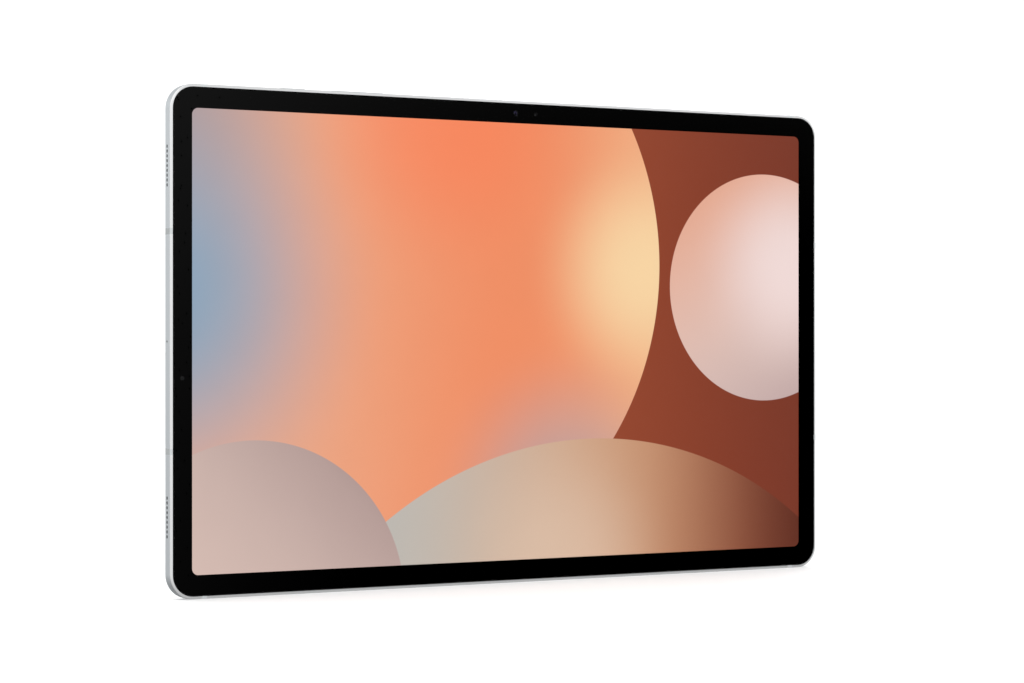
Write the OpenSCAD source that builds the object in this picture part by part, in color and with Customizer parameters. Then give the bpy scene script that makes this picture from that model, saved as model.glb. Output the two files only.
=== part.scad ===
// Tablet computer: a one-piece metal housing closed by a bonded cover glass, with its display
// stack, boards, battery, speakers, cameras, keys and card tray as separate pieces.
//
// Each piece is drawn lying face up: X along the long side, Y along the short side from the
// middle, and Z towards the viewer from mid-thickness. upright() then stands the piece on its
// long bottom edge, with the screen towards -Y and the origin in the middle of that edge.

/* [Body] */
// Length of the long side
body_w = 285.4; // [236:0.2:345]
// Length of the short side
body_h = 185.4; // [152:0.2:225]
// Thickness from the cover glass to the back
body_t = 5.6; // [5.5:0.1:7.5]
// Radius of the four corners
corner_r = 9; // [7:0.5:12]
// Width of the metal lip around the glass
lip_w = 1.0; // [0.7:0.1:1.4]
// Fall of the lip from the glass to the side
lip_drop = 0.25; // [0.1:0.05:0.4]
// Radius between the side and the back
rear_edge_r = 1.2; // [0.8:0.1:2]
// Thickness of the back wall
back_wall = 0.8; // [0.7:0.05:1.2]
// Thickness of the rim
side_wall = 3.0; // [2.6:0.1:3.4]

/* [Display] */
// Thickness of the cover glass
glass_t = 0.55; // [0.4:0.05:0.7]
// Gap between the glass and the lip
glass_gap = 0.08; // [0.05:0.01:0.15]
// Bevel on the front edge of the glass
glass_bevel = 0.18; // [0.1:0.02:0.3]
// Thickness of the black border print
ink_t = 0.1; // [0.05:0.01:0.15]
// Width of the black border
bezel_w = 7.55; // [6.5:0.05:9]
// Corner radius of the lit area
active_r = 2.4; // [1:0.1:6]
// Thickness of the sealing gasket
gasket_t = 0.2; // [0.1:0.05:0.3]
// Thickness of the display panel
panel_t = 0.7; // [0.5:0.05:0.8]
// Dark margin of the panel around the lit area
panel_margin = 1.5; // [1:0.1:2]
// Thickness of the pen digitizer
digitizer_t = 0.25; // [0.15:0.05:0.3]
// Thickness of the graphite sheet
graphite_t = 0.1; // [0.05:0.05:0.2]
// Thickness of the flexible printed circuits
flex_t = 0.12; // [0.08:0.01:0.15]
// Width of the display's circuit
display_flex_w = 40; // [20:1:50]

/* [Rim openings] */
// Speaker slots in a group
slot_count = 9; // [5:1:11]
// Distance between slots
slot_pitch = 1.73; // [1.5:0.01:2]
// Length of a slot
slot_l = 1.25; // [1.1:0.05:1.3]
// Width of a slot
slot_w = 1.0; // [0.6:0.05:1.05]
// Middle of a speaker from the end of the short side
speaker_inset = 29.6; // [27:0.1:31]
// Height of the slots above mid-thickness
slot_z = -0.13; // [-0.3:0.01:0.3]
// Diameter of the microphone hole
mic_d = 0.8; // [0.5:0.1:1]
// Width of an antenna band
band_w = 2.2; // [1:0.1:2.4]
// Antenna band in a short side, from its end
band_inset_y = 53.2; // [52:0.1:56]
// Antenna band in a long side, from its end
band_inset_x = 13.2; // [12.6:0.1:15]

/* [Keys] */
// Length of the power key
power_l = 10.2; // [8:0.1:13]
// Middle of the power key from the left end
power_inset = 49.2; // [47:0.1:51]
// Length of the volume key
volume_l = 21.7; // [17.5:0.1:24]
// Middle of the volume key from the left end
volume_inset = 75.85; // [75:0.05:78]
// Thickness of a key
key_t = 2.0; // [1.6:0.1:2.2]
// Height of a key above the rim
key_proud = 0.3; // [0.25:0.05:0.5]
// Height of the keys above mid-thickness
key_z = 0.2; // [0:0.05:0.3]
// Gap around a key
key_gap = 0.1; // [0.08:0.01:0.15]
// Width of the flange that holds a key in
key_flange = 0.8; // [0.5:0.1:1]
// Thickness of that flange
flange_t = 0.6; // [0.4:0.05:0.7]
// Height of a switch dome
dome_h = 0.3; // [0.25:0.01:0.35]
// Distance of each volume switch from the key's middle
volume_reach = 8; // [7:0.1:8.5]
// Thickness of the bracket behind the keys
bracket_t = 0.6; // [0.4:0.1:0.8]

/* [Card tray] */
// Middle of the tray from the left end
tray_inset = 110.7; // [107:0.1:114]
// Length of the tray's face
tray_face_l = 20; // [19:0.1:21]
// Thickness of the tray's face
tray_face_t = 2.2; // [1.8:0.1:2.2]
// Depth of the tray's face
tray_face_d = 1.5; // [1:0.1:2]
// Gap around the tray's face
tray_gap = 0.08; // [0.05:0.01:0.12]
// Width of the tray behind its face
tray_w = 14.6; // [14:0.1:15]
// Length of the tray behind its face
tray_l = 29.7; // [28:0.1:31]
// Thickness of the tray
tray_t = 1.0; // [0.8:0.05:1.1]
// Height of the socket around the tray
socket_t = 1.7; // [1.6:0.05:1.75]
// Thickness of the socket's sheet metal
socket_wall = 0.2; // [0.1:0.05:0.2]
// Diameter of the eject pinhole
pinhole_d = 0.9; // [0.7:0.05:1.1]
// Width of the eject rod
rod_w = 1.4; // [1.2:0.1:1.5]
// Travel of the eject rod
rod_travel = 2.0; // [1.5:0.1:2.2]
// Lever arm on the rod's side
lever_rod_arm = 7.2; // [6.8:0.1:7.4]
// Lever arm on the tray's side
lever_tray_arm = 5.5; // [5:0.1:6]
// Width of the lever
lever_w = 1.6; // [1.2:0.1:1.8]
// Diameter of the lever's pin
lever_pin_d = 1.0; // [0.8:0.1:1.1]

/* [Boards and battery] */
// Thickness of a circuit board
board_t = 0.8; // [0.6:0.1:0.9]
// Height of the bosses under a board
boss_h = 0.5; // [0.4:0.1:0.6]
// Diameter of a boss
boss_d = 3.2; // [2.8:0.1:3.4]
// Length of the main board
board_w = 144; // [140:1:148]
// Height of the main board
board_h = 34; // [32:1:36]
// Upper edge of the main board from the top of the body
board_inset = 26.7; // [26:0.1:28]
// Height of a shield can
can_t = 1.2; // [1:0.05:1.3]
// Thickness of a shield can's sheet
can_wall = 0.15; // [0.1:0.05:0.2]
// Thickness of the vapour chamber
chamber_t = 0.35; // [0.3:0.05:0.4]
// Thickness of a battery cell
battery_t = 2.75; // [2.2:0.05:2.8]
// Corner radius of a battery cell
battery_r = 2.5; // [1:0.5:5]
// Space between the two cells
battery_space = 4; // [2:0.5:8]
// Space under the cells, above the bottom of the body
battery_foot = 12; // [11.5:0.5:16]
// Space between the cells and the main board
battery_head = 6.7; // [6.5:0.1:9]
// Height of the battery's own circuit board
battery_board_h = 5; // [4:0.5:5.5]
// Space beside the cells for the speakers and the port board
side_zone = 17.7; // [17.2:0.1:20]
// Width of the port board
port_board_w = 14.2; // [13.5:0.1:14.5]
// Length of the port board
port_board_h = 44; // [40:1:46]
// Diameter of a screw's shank
screw_d = 1.2; // [1:0.1:1.3]
// Diameter of a screw's head
screw_head_d = 2.4; // [2:0.1:2.6]
// Height of a screw's head
screw_head_t = 0.4; // [0.3:0.05:0.5]
// Diameter of an antenna cable
cable_d = 0.8; // [0.6:0.1:1]

/* [Port] */
// Inside width of the port
port_w = 8.34; // [8.3:0.01:8.4]
// Inside height of the port
port_t = 2.56; // [2.5:0.01:2.6]
// Thickness of the port's shell
port_wall = 0.3; // [0.2:0.05:0.3]
// Depth of the port's shell
port_l = 7.35; // [6.5:0.05:7.5]
// Depth of its mouth below the side of the body
port_set_back = 0.3; // [0:0.05:0.5]
// Space between the shell and the back wall
port_floor_gap = 0.17; // [0.1:0.01:0.2]
// Width of the port's tongue
tongue_w = 6.69; // [6.6:0.01:6.8]
// Thickness of the tongue
tongue_t = 0.7; // [0.6:0.05:0.75]

/* [Speakers] */
// Width of a speaker module
speaker_w = 12.4; // [12:0.1:12.8]
// Length of a speaker module
speaker_h = 40; // [38:0.5:42]
// Thickness of a speaker module
speaker_t = 2.9; // [2.7:0.05:2.95]
// Thickness of the mesh behind the slots
mesh_t = 0.3; // [0.1:0.05:0.3]

/* [Cameras] */
// Rear cameras from the left end
camera_inset_x = 25.7; // [24:0.1:27]
// Rear cameras from the top
camera_inset_y = 17.4; // [16:0.1:18]
// Distance between the two rear cameras
camera_pitch = 20; // [18:0.5:21]
// Width of a rear camera module
camera_w = 9.6; // [9:0.1:11]
// Thickness of a rear camera module
camera_t = 2.9; // [2.6:0.1:3]
// Outer diameter of a camera ring
ring_d = 14; // [13:0.1:16]
// Height of a camera ring above the back
ring_proud = 0.7; // [0.4:0.05:1.2]
// Diameter of a camera's cover glass
lens_glass_d = 10.6; // [10:0.1:11]
// Thickness of a camera's cover glass
lens_glass_t = 0.5; // [0.4:0.05:0.6]
// Distance from the second camera to the flash
flash_pitch = 13; // [12:0.5:15]
// Diameter of the flash window
flash_d = 5.6; // [4.5:0.1:6.5]
// Diameter of the front camera's window
front_window_d = 2.6; // [2.2:0.1:3]
// Light sensor beside the front camera
sensor_x = 9; // [7:0.1:11]
// Light sensor in the left border, from mid-height
sensor_y = -13.2; // [-20:0.1:-6]
// Diameter of a sensor window
sensor_window_d = 1.6; // [1.2:0.1:2]

/* [Pen and keyboard] */
// Length of the pen strip on the back
strip_l = 150; // [120:1:155]
// Height of the pen strip
strip_h = 13; // [10:0.5:14]
// Depth of the pen strip's recess
strip_t = 0.3; // [0.2:0.05:0.4]
// Distance from the flash to the pen strip
strip_gap = 12; // [10:0.5:14]
// Length of the keyboard contact insert
contact_l = 20; // [18:0.5:24]
// Height of the keyboard contact insert
contact_h = 4.4; // [4:0.1:4.8]
// Keyboard contacts from the bottom edge
contact_inset = 6.2; // [6:0.1:7]
// Diameter of a keyboard contact
pad_d = 2.6; // [2:0.1:3]
// Distance between keyboard contacts
pad_pitch = 5.5; // [4:0.1:6]

/* [Hidden] */
$fn = 48;
past = 1;            // how far a cut runs past the face it opens
weld = 0.1;          // how far two shapes of one piece run into each other
seat_gap = 0.05;     // sliding gap between small pieces that touch in use
screw_play = 0.04;   // radial play of a screw in its hole

// Levels through the thickness
front_z = body_t / 2;
back_z = -body_t / 2;
floor_z = back_z + back_wall;
glass_back_z = front_z - glass_t;
ink_back_z = glass_back_z - ink_t;
ledge_z = ink_back_z - gasket_t;
panel_back_z = ink_back_z - panel_t;
digitizer_back_z = panel_back_z - digitizer_t;
graphite_back_z = digitizer_back_z - graphite_t;
board_z = floor_z + boss_h;
board_top_z = board_z + board_t;

// Outlines
right_x = body_w / 2;
top_y = body_h / 2;
inner_x = right_x - side_wall;
inner_y = top_y - side_wall;
glass_w = body_w - 2 * lip_w - 2 * glass_gap;
glass_h = body_h - 2 * lip_w - 2 * glass_gap;
glass_r = corner_r - lip_w - glass_gap;
active_w = glass_w - 2 * bezel_w;
active_h = glass_h - 2 * bezel_w;
panel_w = active_w + 2 * panel_margin;
panel_h = active_h + 2 * panel_margin;
ink_inset = 0.1;           // clear edge of the glass outside the print
digitizer_margin = 0.5;    // digitizer outside the lit area
gasket_inset = 0.2;        // gasket inside the glass pocket
gasket_lap = 0.1;          // gasket short of the rim's inner wall
bezel_mid_y = glass_h / 2 - bezel_w / 2;

// Rim
slot_y = top_y - speaker_inset;
band_y = top_y - band_inset_y;
band_x = right_x - band_inset_x;

// Keys
power_x = -right_x + power_inset;
volume_x = -right_x + volume_inset;
bracket_seat_gap = 0.1;                      // key circuit between the bracket and the rim
switch_y = inner_y;                          // top of the key circuit
dome_top_y = switch_y + dome_h;
stem_l = 0.5;                                // stem between the flange and the dome
power_flange_y = dome_top_y + stem_l;
key_roof_y = power_flange_y + flange_t + seat_gap;
rocker_play = 0.15;                          // space above the rocker's flange
rocker_flange_y = key_roof_y - rocker_play - flange_t;
rocker_flange_l = 8;
fulcrum_w = 0.6;
flange_step = 0.3;                           // flange outside the key, across its thickness
stem_d = 1.6;
dome_base_d = 2.4;
flex_lap = 3;                                // small circuits lie this far onto the main board
dome_tip_d = 1.6;
key_top_y = top_y + key_proud;
bracket_y = switch_y - bracket_seat_gap - bracket_t;
bracket_end = 3.4;                           // bracket past the power key
bracket_x0 = power_x - power_l / 2 - bracket_end;
bracket_x1 = volume_x + volume_l / 2 + 1;
bracket_low = 1.7;                           // bracket below the keys' middle
bracket_high = 1.0;                          // bracket above the keys' middle
foot_w = 6;
foot_h = 5.6;
foot_screw_rise = 0.3;                       // screw above the middle of its foot
key_tail_w = 3;
key_tail_gap = 0.5;                          // key circuit's tail past the bracket
key_tail_x = bracket_x1 + key_tail_gap;

// Card tray
tray_x = -right_x + tray_inset;
socket_roof_gap = 0.1;                       // socket under the display stack
// The socket stands on the board, or in a recess of it where the stack leaves no height
socket_z0 = min(board_top_z, graphite_back_z - socket_roof_gap - socket_t);
tray_z = socket_z0 + socket_t / 2;
tray_face_y = top_y - tray_face_d;
tray_end_y = tray_face_y - tray_l;
tray_lane_x = -1.3;                          // middle of the tray from the middle of its face
tray_side_gap = 0.6;
rod_x = 7.7;
rod_t = 0.8;
rod_top_gap = 0.3;
rod_lever_gap = 0.2;
rod_nose_step = 0.2;                         // rod's nose narrower on each side
slider_gap = 0.1;
slider_t = 1.6;
slider_w = 6.8;
slider_x = -5;
slider_y = tray_end_y - slider_gap - slider_t;
lever_t = 0.6;
lever_y = slider_y - slider_gap - lever_w / 2;
lever_x = rod_x - lever_rod_arm;
rod_end_y = lever_y + lever_w / 2 + rod_lever_gap;
lever_play = 0.05;
lever_room = 1.5;
lever_swing = rod_travel + lever_room;       // lever's middle above the end of the socket
socket_y0 = lever_y - lever_swing;
socket_rim_gap = 0.1;
socket_y1 = inner_y - socket_rim_gap;
socket_x0 = tray_lane_x - tray_w / 2 - tray_side_gap - socket_wall;
rod_side_gap = 1;
socket_x1 = rod_x + rod_w / 2 + rod_side_gap + socket_wall;
lane_wall_gap = 0.7;                         // wall beside the rod
lane_wall_x = rod_x - rod_w / 2 - lane_wall_gap;
lane_wall_short = 5;                         // wall shorter than the tray
lane_wall_l = tray_l - lane_wall_short;
card_depth = 0.75;
card_ledge = 1;
// Cards from the tray's inner end: start, width and length
cards = [[0.9, 11.2, 15.2], [17.5, 12.5, 9]];

// Rear cameras and flash
camera_x = -right_x + camera_inset_x;
camera_y = top_y - camera_inset_y;
flash_x = camera_x + camera_pitch + flash_pitch;
camera_xs = [camera_x, camera_x + camera_pitch];
ring_sink = 0.2;
ring_bevel = 0.3;
ring_bore_d = 9;
ring_ledge_z = back_z - 0.1;
spigot_d = 11.8;
barrel_d = 8.6;
barrel_tip_z = back_z + seat_gap;
led_w = 3;

// Main board and what it carries
board_x0 = flash_x - 2;                      // its end lies under the flash
board_x1 = board_x0 + board_w;
board_mid_x = (board_x0 + board_x1) / 2;
board_y1 = top_y - board_inset;
board_y0 = board_y1 - board_h;
board_mid_y = (board_y0 + board_y1) / 2;
flash_tongue_w = 8;
flash_tongue_l = camera_y + flash_tongue_w / 2 - board_y1;
socket_margin = 1;
can_r = 0.8;
// Shield cans from the middle of the board: x, y, width and height
cans = [[-48, 0, 30, 22], [17, 0, 42, 26], [53, 0, 22, 22]];
chamber_inset = 2;
chamber_r = 2;
// Chips from the middle of the board: x, y, width, height and thickness
chips = [[-54, 2, 12, 14, 0.9], [-41, -3, 8, 8, 0.8], [10, 0, 16, 16, 1.0], [26, 4, 12, 11, 0.9],
    [29, -7, 7, 6, 0.7], [49, 3, 9, 9, 0.8], [58, -4, 7, 9, 0.7], [-25, -9, 8, 5, 0.8],
    [-10, -8, 7, 6, 0.7], [-66, -8, 6, 6, 0.7]];
screw_inset_x = 4;
screw_inset_y = 3;
screw_inset_top = flex_lap + screw_head_d / 2 + 0.3;   // clear of the circuits' ends
// Four screws in the board's corners and two between its shield cans
main_screws = concat(
    [for (x = [board_x0 + screw_inset_x, board_x1 - screw_inset_x],
        y = [board_y0 + screw_inset_y, board_y1 - screw_inset_top]) [x, y]],
    [for (x = [-30.5, 40]) [board_mid_x + x, board_y0 + screw_inset_y]]);

// Battery
battery_x0 = battery_space / 2;
battery_x1 = inner_x - side_zone;
battery_y0 = -top_y + battery_foot;
battery_y1 = board_y0 - battery_head;
battery_board_w = 80;
battery_board_x = board_mid_x + 14;           // clear of the board's screws
battery_tail_w = 12;
board_lap = 3.5;                              // circuits lie this far onto a board

// Port board and port
port_board_gap = 0.5;                         // port board beside the rim
port_board_x1 = inner_x - port_board_gap;
port_board_x0 = port_board_x1 - port_board_w;
port_x1 = right_x - port_set_back;
port_x0 = port_x1 - port_l;
port_z = floor_z + port_floor_gap + port_t / 2 + port_wall;
port_outer_w = port_w + 2 * port_wall;
port_outer_t = port_t + 2 * port_wall;
port_fit = 0.05;
port_cut_gap = 0.1;                           // board around the port's shell
port_screw_inset = 3;
tongue_base_l = 1.75;
tongue_short = 0.8;
ear_l = 3;
ear_w = 1.7;
ear_t = 0.2;
ear_inset = 0.5;
ear_root = 0.6;                               // ear inside the shell's round side
port_screws = [for (s = [-1, 1])
    [port_board_x0 + port_screw_inset, s * (port_board_h / 2 - port_screw_inset)]];

// Flexible circuits between the boards
link_y0 = battery_y1 + 2.7;                   // clear of the cells' heads
link_w = 3;
link_x0 = board_mid_x + 56;                   // between the last shield can and the end screws
link_x1 = port_board_x1 - 4.2;                // beside the port
link_end_w = 4.5;

// Speakers
speaker_x = inner_x - mesh_t - speaker_w / 2;
well_w = 8.8;
well_h = 26;
well_floor_t = 0.6;
well_floor_z = floor_z + well_floor_t;
diaphragm_lap = 0.5;
diaphragm_t = 0.25;
diaphragm_sink = 0.6;
magnet_w = 6;
magnet_h = 20;
magnet_t = 1.0;
ear_reach = 3.5;
ear_width = 4;
slot_run = slot_count * slot_pitch;
mesh_h = 2.4;
mesh_lap = 0.5;                               // mesh past the slots
box_r = 1;
speaker_screw_y = speaker_h / 2 + ear_reach / 2;
speaker_screw_list = [for (sx = [-1, 1], sy = [-1, 1], e = [-1, 1])
    [sx * speaker_x, sy * slot_y + e * speaker_screw_y]];
bracket_screws = [for (x = [bracket_x0 + foot_w / 2, bracket_x1 - foot_w / 2])
    [x, bracket_y - foot_h / 2 + foot_screw_rise]];
board_screw_list = concat(main_screws, port_screws, bracket_screws);
screw_l = 1.5;

// Front camera and sensors
front_module_w = 6.4;
front_module_h = 7;
front_module_top = 1.65;                      // module above the lens
front_module_t = 2.9;
front_barrel_d = 3.2;
front_flex_w = 4;
post_w = 2.4;
display_flex_x0 = front_module_w / 2 + 8.8;   // beside the front camera
display_flex_out = 0.73;                      // its bend past the panel's edge
display_flex_rise = 0.42;                     // its bonded edge in front of the panel's back
sensors = [[sensor_x, bezel_mid_y], [-glass_w / 2 + bezel_w / 2, sensor_y]];
mic_depth = 1.2;
mic_l = 3.8;
mic_h = 2.4;

// Pen and keyboard
strip_x0 = flash_x + strip_gap;
strip_mid_x = strip_x0 + strip_l / 2;
strip_r = 2;
strip_fit = 0.05;
coil_l = 22;
coil_h = 11;
coil_band = 3;
coil_t = 0.5;
coil_x = 32;
pen_magnet_l = 10;
pen_magnet_h = 8;
pen_magnet_t = 0.9;
pen_magnet_xs = [camera_x + 55, coil_x - 19, coil_x + 30];
magnet_r = 0.5;
contact_y = -top_y + contact_inset;
contact_flange = 0.8;
contact_flange_t = 0.6;
pad_sink = 0.05;
pad_tail = 0.8;
cover_magnet_l = 24;
cover_magnet_h = 5;
cover_magnet_t = 1.5;
cover_magnet_xs = [-95, -50, 50, 95];

// Antenna cables
cable_bend_r = 4;
cable_z = floor_z + cable_d / 2;
cable_inset_x = 24.7;
cable_inset_y = 4.7;
cable_right_y = board_y1 - 6;                 // leaves the board's right end
cable_left_y = board_y0 + 18;                 // leaves the board's left end
cable_end_y = band_y - 3;                     // meets the rim below the left band
cable_end_gap = 0.2;

// ---- Shared shapes ----

// Stands a piece on its long bottom edge
module upright() translate([0, 0, top_y]) rotate([90, 0, 0]) children();

// A box between two corners
module block(x0, x1, y0, y1, z0, z1) translate([x0, y0, z0]) cube([x1 - x0, y1 - y0, z1 - z0]);

// A rectangle with round corners, centred
module rounded_rect(w, h, r) {
    square([w - 2 * r, h], center = true);
    square([w, h - 2 * r], center = true);
    for (sx = [-1, 1], sy = [-1, 1])
        translate([sx * (w / 2 - r), sy * (h / 2 - r)]) circle(r);
}

// A flat plate with round corners between two levels
module plate(w, h, r, z0, z1) translate([0, 0, z0]) linear_extrude(z1 - z0) rounded_rect(w, h, r);

// A slot with round ends
module pill(l, t) {
    square([l - t, t], center = true);
    for (s = [-1, 1])
        translate([s * (l - t) / 2, 0]) circle(t / 2);
}

// A pill that runs along Y, for what enters through the long edge
module edge_pill(l, t, y0, y1) translate([0, y1, 0]) rotate([90, 0, 0]) linear_extrude(y1 - y0) pill(l, t);

// A pill that runs along X, for what enters through the short edge
module side_pill(l, t, x0, x1) rotate([0, 0, -90]) edge_pill(l, t, x0, x1);

// A flat oval between two levels, its long axis along Y
module oval(w, h, z0, z1) translate([0, 0, z0]) linear_extrude(z1 - z0) rotate(90) pill(h, w);

// A round bar along Y
module edge_bar(d, y0, y1) translate([0, y1, 0]) rotate([90, 0, 0]) cylinder(d = d, h = y1 - y0);

// A plate whose edge has the child's section, drawn from 0 at the corner's centre out to r
module edged_plate(w, h, r, z0, z1) {
    cw = w - 2 * r;
    ch = h - 2 * r;
    block(-cw / 2, cw / 2, -ch / 2, ch / 2, z0, z1);
    for (m = [0, 1]) mirror([m, 0, 0])
        translate([cw / 2, ch / 2, 0]) rotate([90, 0, 0]) linear_extrude(ch) children();
    for (m = [0, 1]) mirror([0, m, 0]) rotate([0, 0, 90])
        translate([ch / 2, cw / 2, 0]) rotate([90, 0, 0]) linear_extrude(cw) children();
    for (q = [[1, 1, 0], [-1, 1, 90], [-1, -1, 180], [1, -1, 270]])
        translate([q[0] * cw / 2, q[1] * ch / 2, 0]) rotate([0, 0, q[2]])
            rotate_extrude(angle = 90, $fn = 96) children();
}

// Puts a child at each place of a list
module at_places(places, z = 0) for (p = places) translate([p[0], p[1], z]) children();

// ---- Housing ----

// Section of the rim: a falling lip in front, a flat side and a round rear edge
module rim_section() {
    side_x = corner_r;
    difference() {
        translate([0, back_z]) square([side_x, body_t]);
        polygon([[side_x - lip_w, front_z], [side_x - 0.32 * lip_w, front_z - 0.45 * lip_drop],
            [side_x - 0.1 * lip_w, front_z - lip_drop], [side_x, front_z - 1.8 * lip_drop],
            [side_x + past, front_z - 1.8 * lip_drop], [side_x + past, front_z + past],
            [side_x - lip_w, front_z + past]]);
        difference() {
            translate([side_x - rear_edge_r, back_z - past])
                square([rear_edge_r + past, rear_edge_r + past]);
            translate([side_x - rear_edge_r, back_z + rear_edge_r]) circle(rear_edge_r, $fn = 96);
        }
    }
}

// The housing's outer form with the pockets for the glass and for the inner parts
module rim_and_back() difference() {
    edged_plate(body_w, body_h, corner_r, back_z, front_z) rim_section();
    plate(body_w - 2 * lip_w, body_h - 2 * lip_w, corner_r - lip_w, ledge_z, front_z + past);
    plate(2 * inner_x, 2 * inner_y, corner_r - side_wall, floor_z, front_z);
}

// The eight blocks of the rim that the antenna bands fill
module band_blocks() {
    for (sx = [-1, 1], sy = [-1, 1])
        translate([sx * (inner_x + side_wall / 2 + past / 2), sy * band_y, 0])
            cube([side_wall + past, band_w, body_t + 2 * past], center = true);
    for (sx = [-1, 1], sy = [-1, 1])
        translate([sx * band_x, sy * (inner_y + side_wall / 2 + past / 2), 0])
            cube([band_w, side_wall + past, body_t + 2 * past], center = true);
}

// Hole for a key with the wider pocket for its flange
module key_opening(l) {
    edge_pill(l + 2 * key_gap, key_t + 2 * key_gap, inner_y, top_y + past);
    edge_pill(l + 2 * key_flange + 2 * key_gap, key_t + 2 * flange_step + 2 * key_gap,
        inner_y - past, key_roof_y);
}

module rim_openings() {
    for (sx = [0, 1]) mirror([sx, 0, 0])
        for (sy = [-1, 1], i = [0 : slot_count - 1])
            translate([0, sy * slot_y + (i - (slot_count - 1) / 2) * slot_pitch, slot_z])
                side_pill(slot_l, slot_w, inner_x - past, right_x + past);
    translate([-right_x - past, 0, slot_z]) rotate([0, 90, 0]) cylinder(d = mic_d, h = side_wall + 2 * past);
    translate([0, 0, port_z])
        side_pill(port_outer_w + 2 * port_fit, port_outer_t + 2 * port_fit, inner_x - past, right_x + past);
    translate([power_x, 0, key_z]) key_opening(power_l);
    translate([volume_x, 0, key_z]) key_opening(volume_l);
    translate([tray_x, 0, tray_z])
        edge_pill(tray_face_l + 2 * tray_gap, tray_face_t + 2 * tray_gap, inner_y - past, top_y + past);
}

module back_openings() {
    at_places([for (x = camera_xs) [x, camera_y]]) {
        translate([0, 0, back_z - past]) cylinder(d = spigot_d + 2 * port_fit, h = back_wall + 2 * past);
        translate([0, 0, back_z - past]) cylinder(d = ring_d + 2 * port_fit, h = ring_sink + past);
    }
    translate([flash_x, camera_y, back_z - past])
        cylinder(d = flash_d + 2 * port_fit, h = back_wall + 2 * past);
    translate([strip_mid_x, camera_y, 0])
        plate(strip_l + 2 * strip_fit, strip_h + 2 * strip_fit, strip_r, back_z - past, back_z + strip_t);
    translate([0, contact_y, back_z - past])
        linear_extrude(back_wall + 2 * past) pill(contact_l + 2 * strip_fit, contact_h + 2 * strip_fit);
}

module back_housing() upright() color([0.83, 0.84, 0.85]) difference() {
    union() {
        difference() {
            rim_and_back();
            band_blocks();
        }
        at_places(concat(board_screw_list, speaker_screw_list), floor_z) cylinder(d = boss_d, h = boss_h);
    }
    rim_openings();
    back_openings();
    at_places(concat(board_screw_list, speaker_screw_list), board_top_z - screw_l)
        cylinder(r = screw_d / 2 + screw_play, h = screw_l);
}

module antenna_bands() upright() color([0.78, 0.79, 0.8]) intersection() {
    rim_and_back();
    band_blocks();
}

// ---- Display ----

module glass_section() difference() {
    translate([0, glass_back_z]) square([glass_r, glass_t]);
    polygon([[glass_r - 2 * glass_bevel, front_z],
        [glass_r - 0.7 * glass_bevel, front_z - 0.35 * glass_bevel],
        [glass_r, front_z - glass_bevel], [glass_r + past, front_z - glass_bevel],
        [glass_r + past, front_z + past], [glass_r - 2 * glass_bevel, front_z + past]]);
}

module cover_glass() upright() color([0.1, 0.1, 0.12, 0.35])
    edged_plate(glass_w, glass_h, glass_r, glass_back_z, front_z) glass_section();

module black_border() upright() color([0.03, 0.03, 0.03]) difference() {
    plate(glass_w - 2 * ink_inset, glass_h - 2 * ink_inset, glass_r - ink_inset, ink_back_z, glass_back_z);
    plate(active_w, active_h, active_r, ink_back_z - past, glass_back_z + past);
    translate([0, bezel_mid_y, ink_back_z - past])
        cylinder(d = front_window_d + 2 * seat_gap, h = ink_t + 2 * past);
    at_places(sensors, ink_back_z - past) cylinder(d = sensor_window_d, h = ink_t + 2 * past);
}

module display_gasket() upright() color([0.12, 0.12, 0.12]) difference() {
    plate(body_w - 2 * lip_w - 2 * gasket_inset, body_h - 2 * lip_w - 2 * gasket_inset,
        corner_r - lip_w - gasket_inset, ledge_z, ink_back_z);
    plate(2 * (inner_x + gasket_lap), 2 * (inner_y + gasket_lap), corner_r - side_wall + gasket_lap,
        ledge_z - past, ink_back_z + past);
}

module display_panel() upright() color([0.1, 0.1, 0.12])
    plate(panel_w, panel_h, active_r + panel_margin, panel_back_z, ink_back_z);

module pen_digitizer() upright() color([0.55, 0.4, 0.2])
    plate(active_w + 2 * digitizer_margin, active_h + 2 * digitizer_margin, active_r,
        digitizer_back_z, panel_back_z);

module graphite_sheet() upright() color([0.25, 0.25, 0.27])
    plate(active_w + 2 * digitizer_margin, active_h + 2 * digitizer_margin, active_r,
        graphite_back_z, digitizer_back_z);

// Leaves the top edge of the panel, turns down behind it and lies on the main board
module display_flex() upright() color([0.75, 0.5, 0.15]) {
    x0 = display_flex_x0;
    x1 = x0 + display_flex_w;
    y0 = panel_h / 2;
    out_y = y0 + display_flex_out;
    front = panel_back_z + display_flex_rise;
    block(x0, x1, y0, out_y, front - flex_t, front);
    block(x0, x1, out_y - flex_t, out_y, board_top_z, front);
    block(x0, x1, board_y1 - flex_lap, out_y, board_top_z, board_top_z + flex_t);
}

// ---- Boards ----

module screw_clearance(places) at_places(places, board_z - past)
    cylinder(r = screw_d / 2 + 3 * screw_play, h = board_t + 2 * past);

module main_board() upright() color([0.1, 0.3, 0.2]) difference() {
    union() {
        block(board_x0, board_x1, board_y0, board_y1, board_z, board_top_z);
        block(board_x0, board_x0 + flash_tongue_w, board_y1, board_y1 + flash_tongue_l,
            board_z, board_top_z);
        block(tray_x + socket_x0 - socket_margin, tray_x + socket_x1 + socket_margin, board_y1,
            socket_y1 - socket_margin, board_z, board_top_z);
    }
    if (socket_z0 < board_top_z)
        translate([tray_x, 0, 0])
            block(socket_x0 - port_fit, socket_x1 + port_fit, socket_y0 - port_fit, socket_y1,
                socket_z0, board_top_z + past);
    screw_clearance(main_screws);
}

module board_chips() upright() color([0.15, 0.15, 0.16])
    for (c = chips)
        block(board_mid_x + c[0] - c[2] / 2, board_mid_x + c[0] + c[2] / 2,
            board_mid_y + c[1] - c[3] / 2, board_mid_y + c[1] + c[3] / 2, board_top_z, board_top_z + c[4]);

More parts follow.
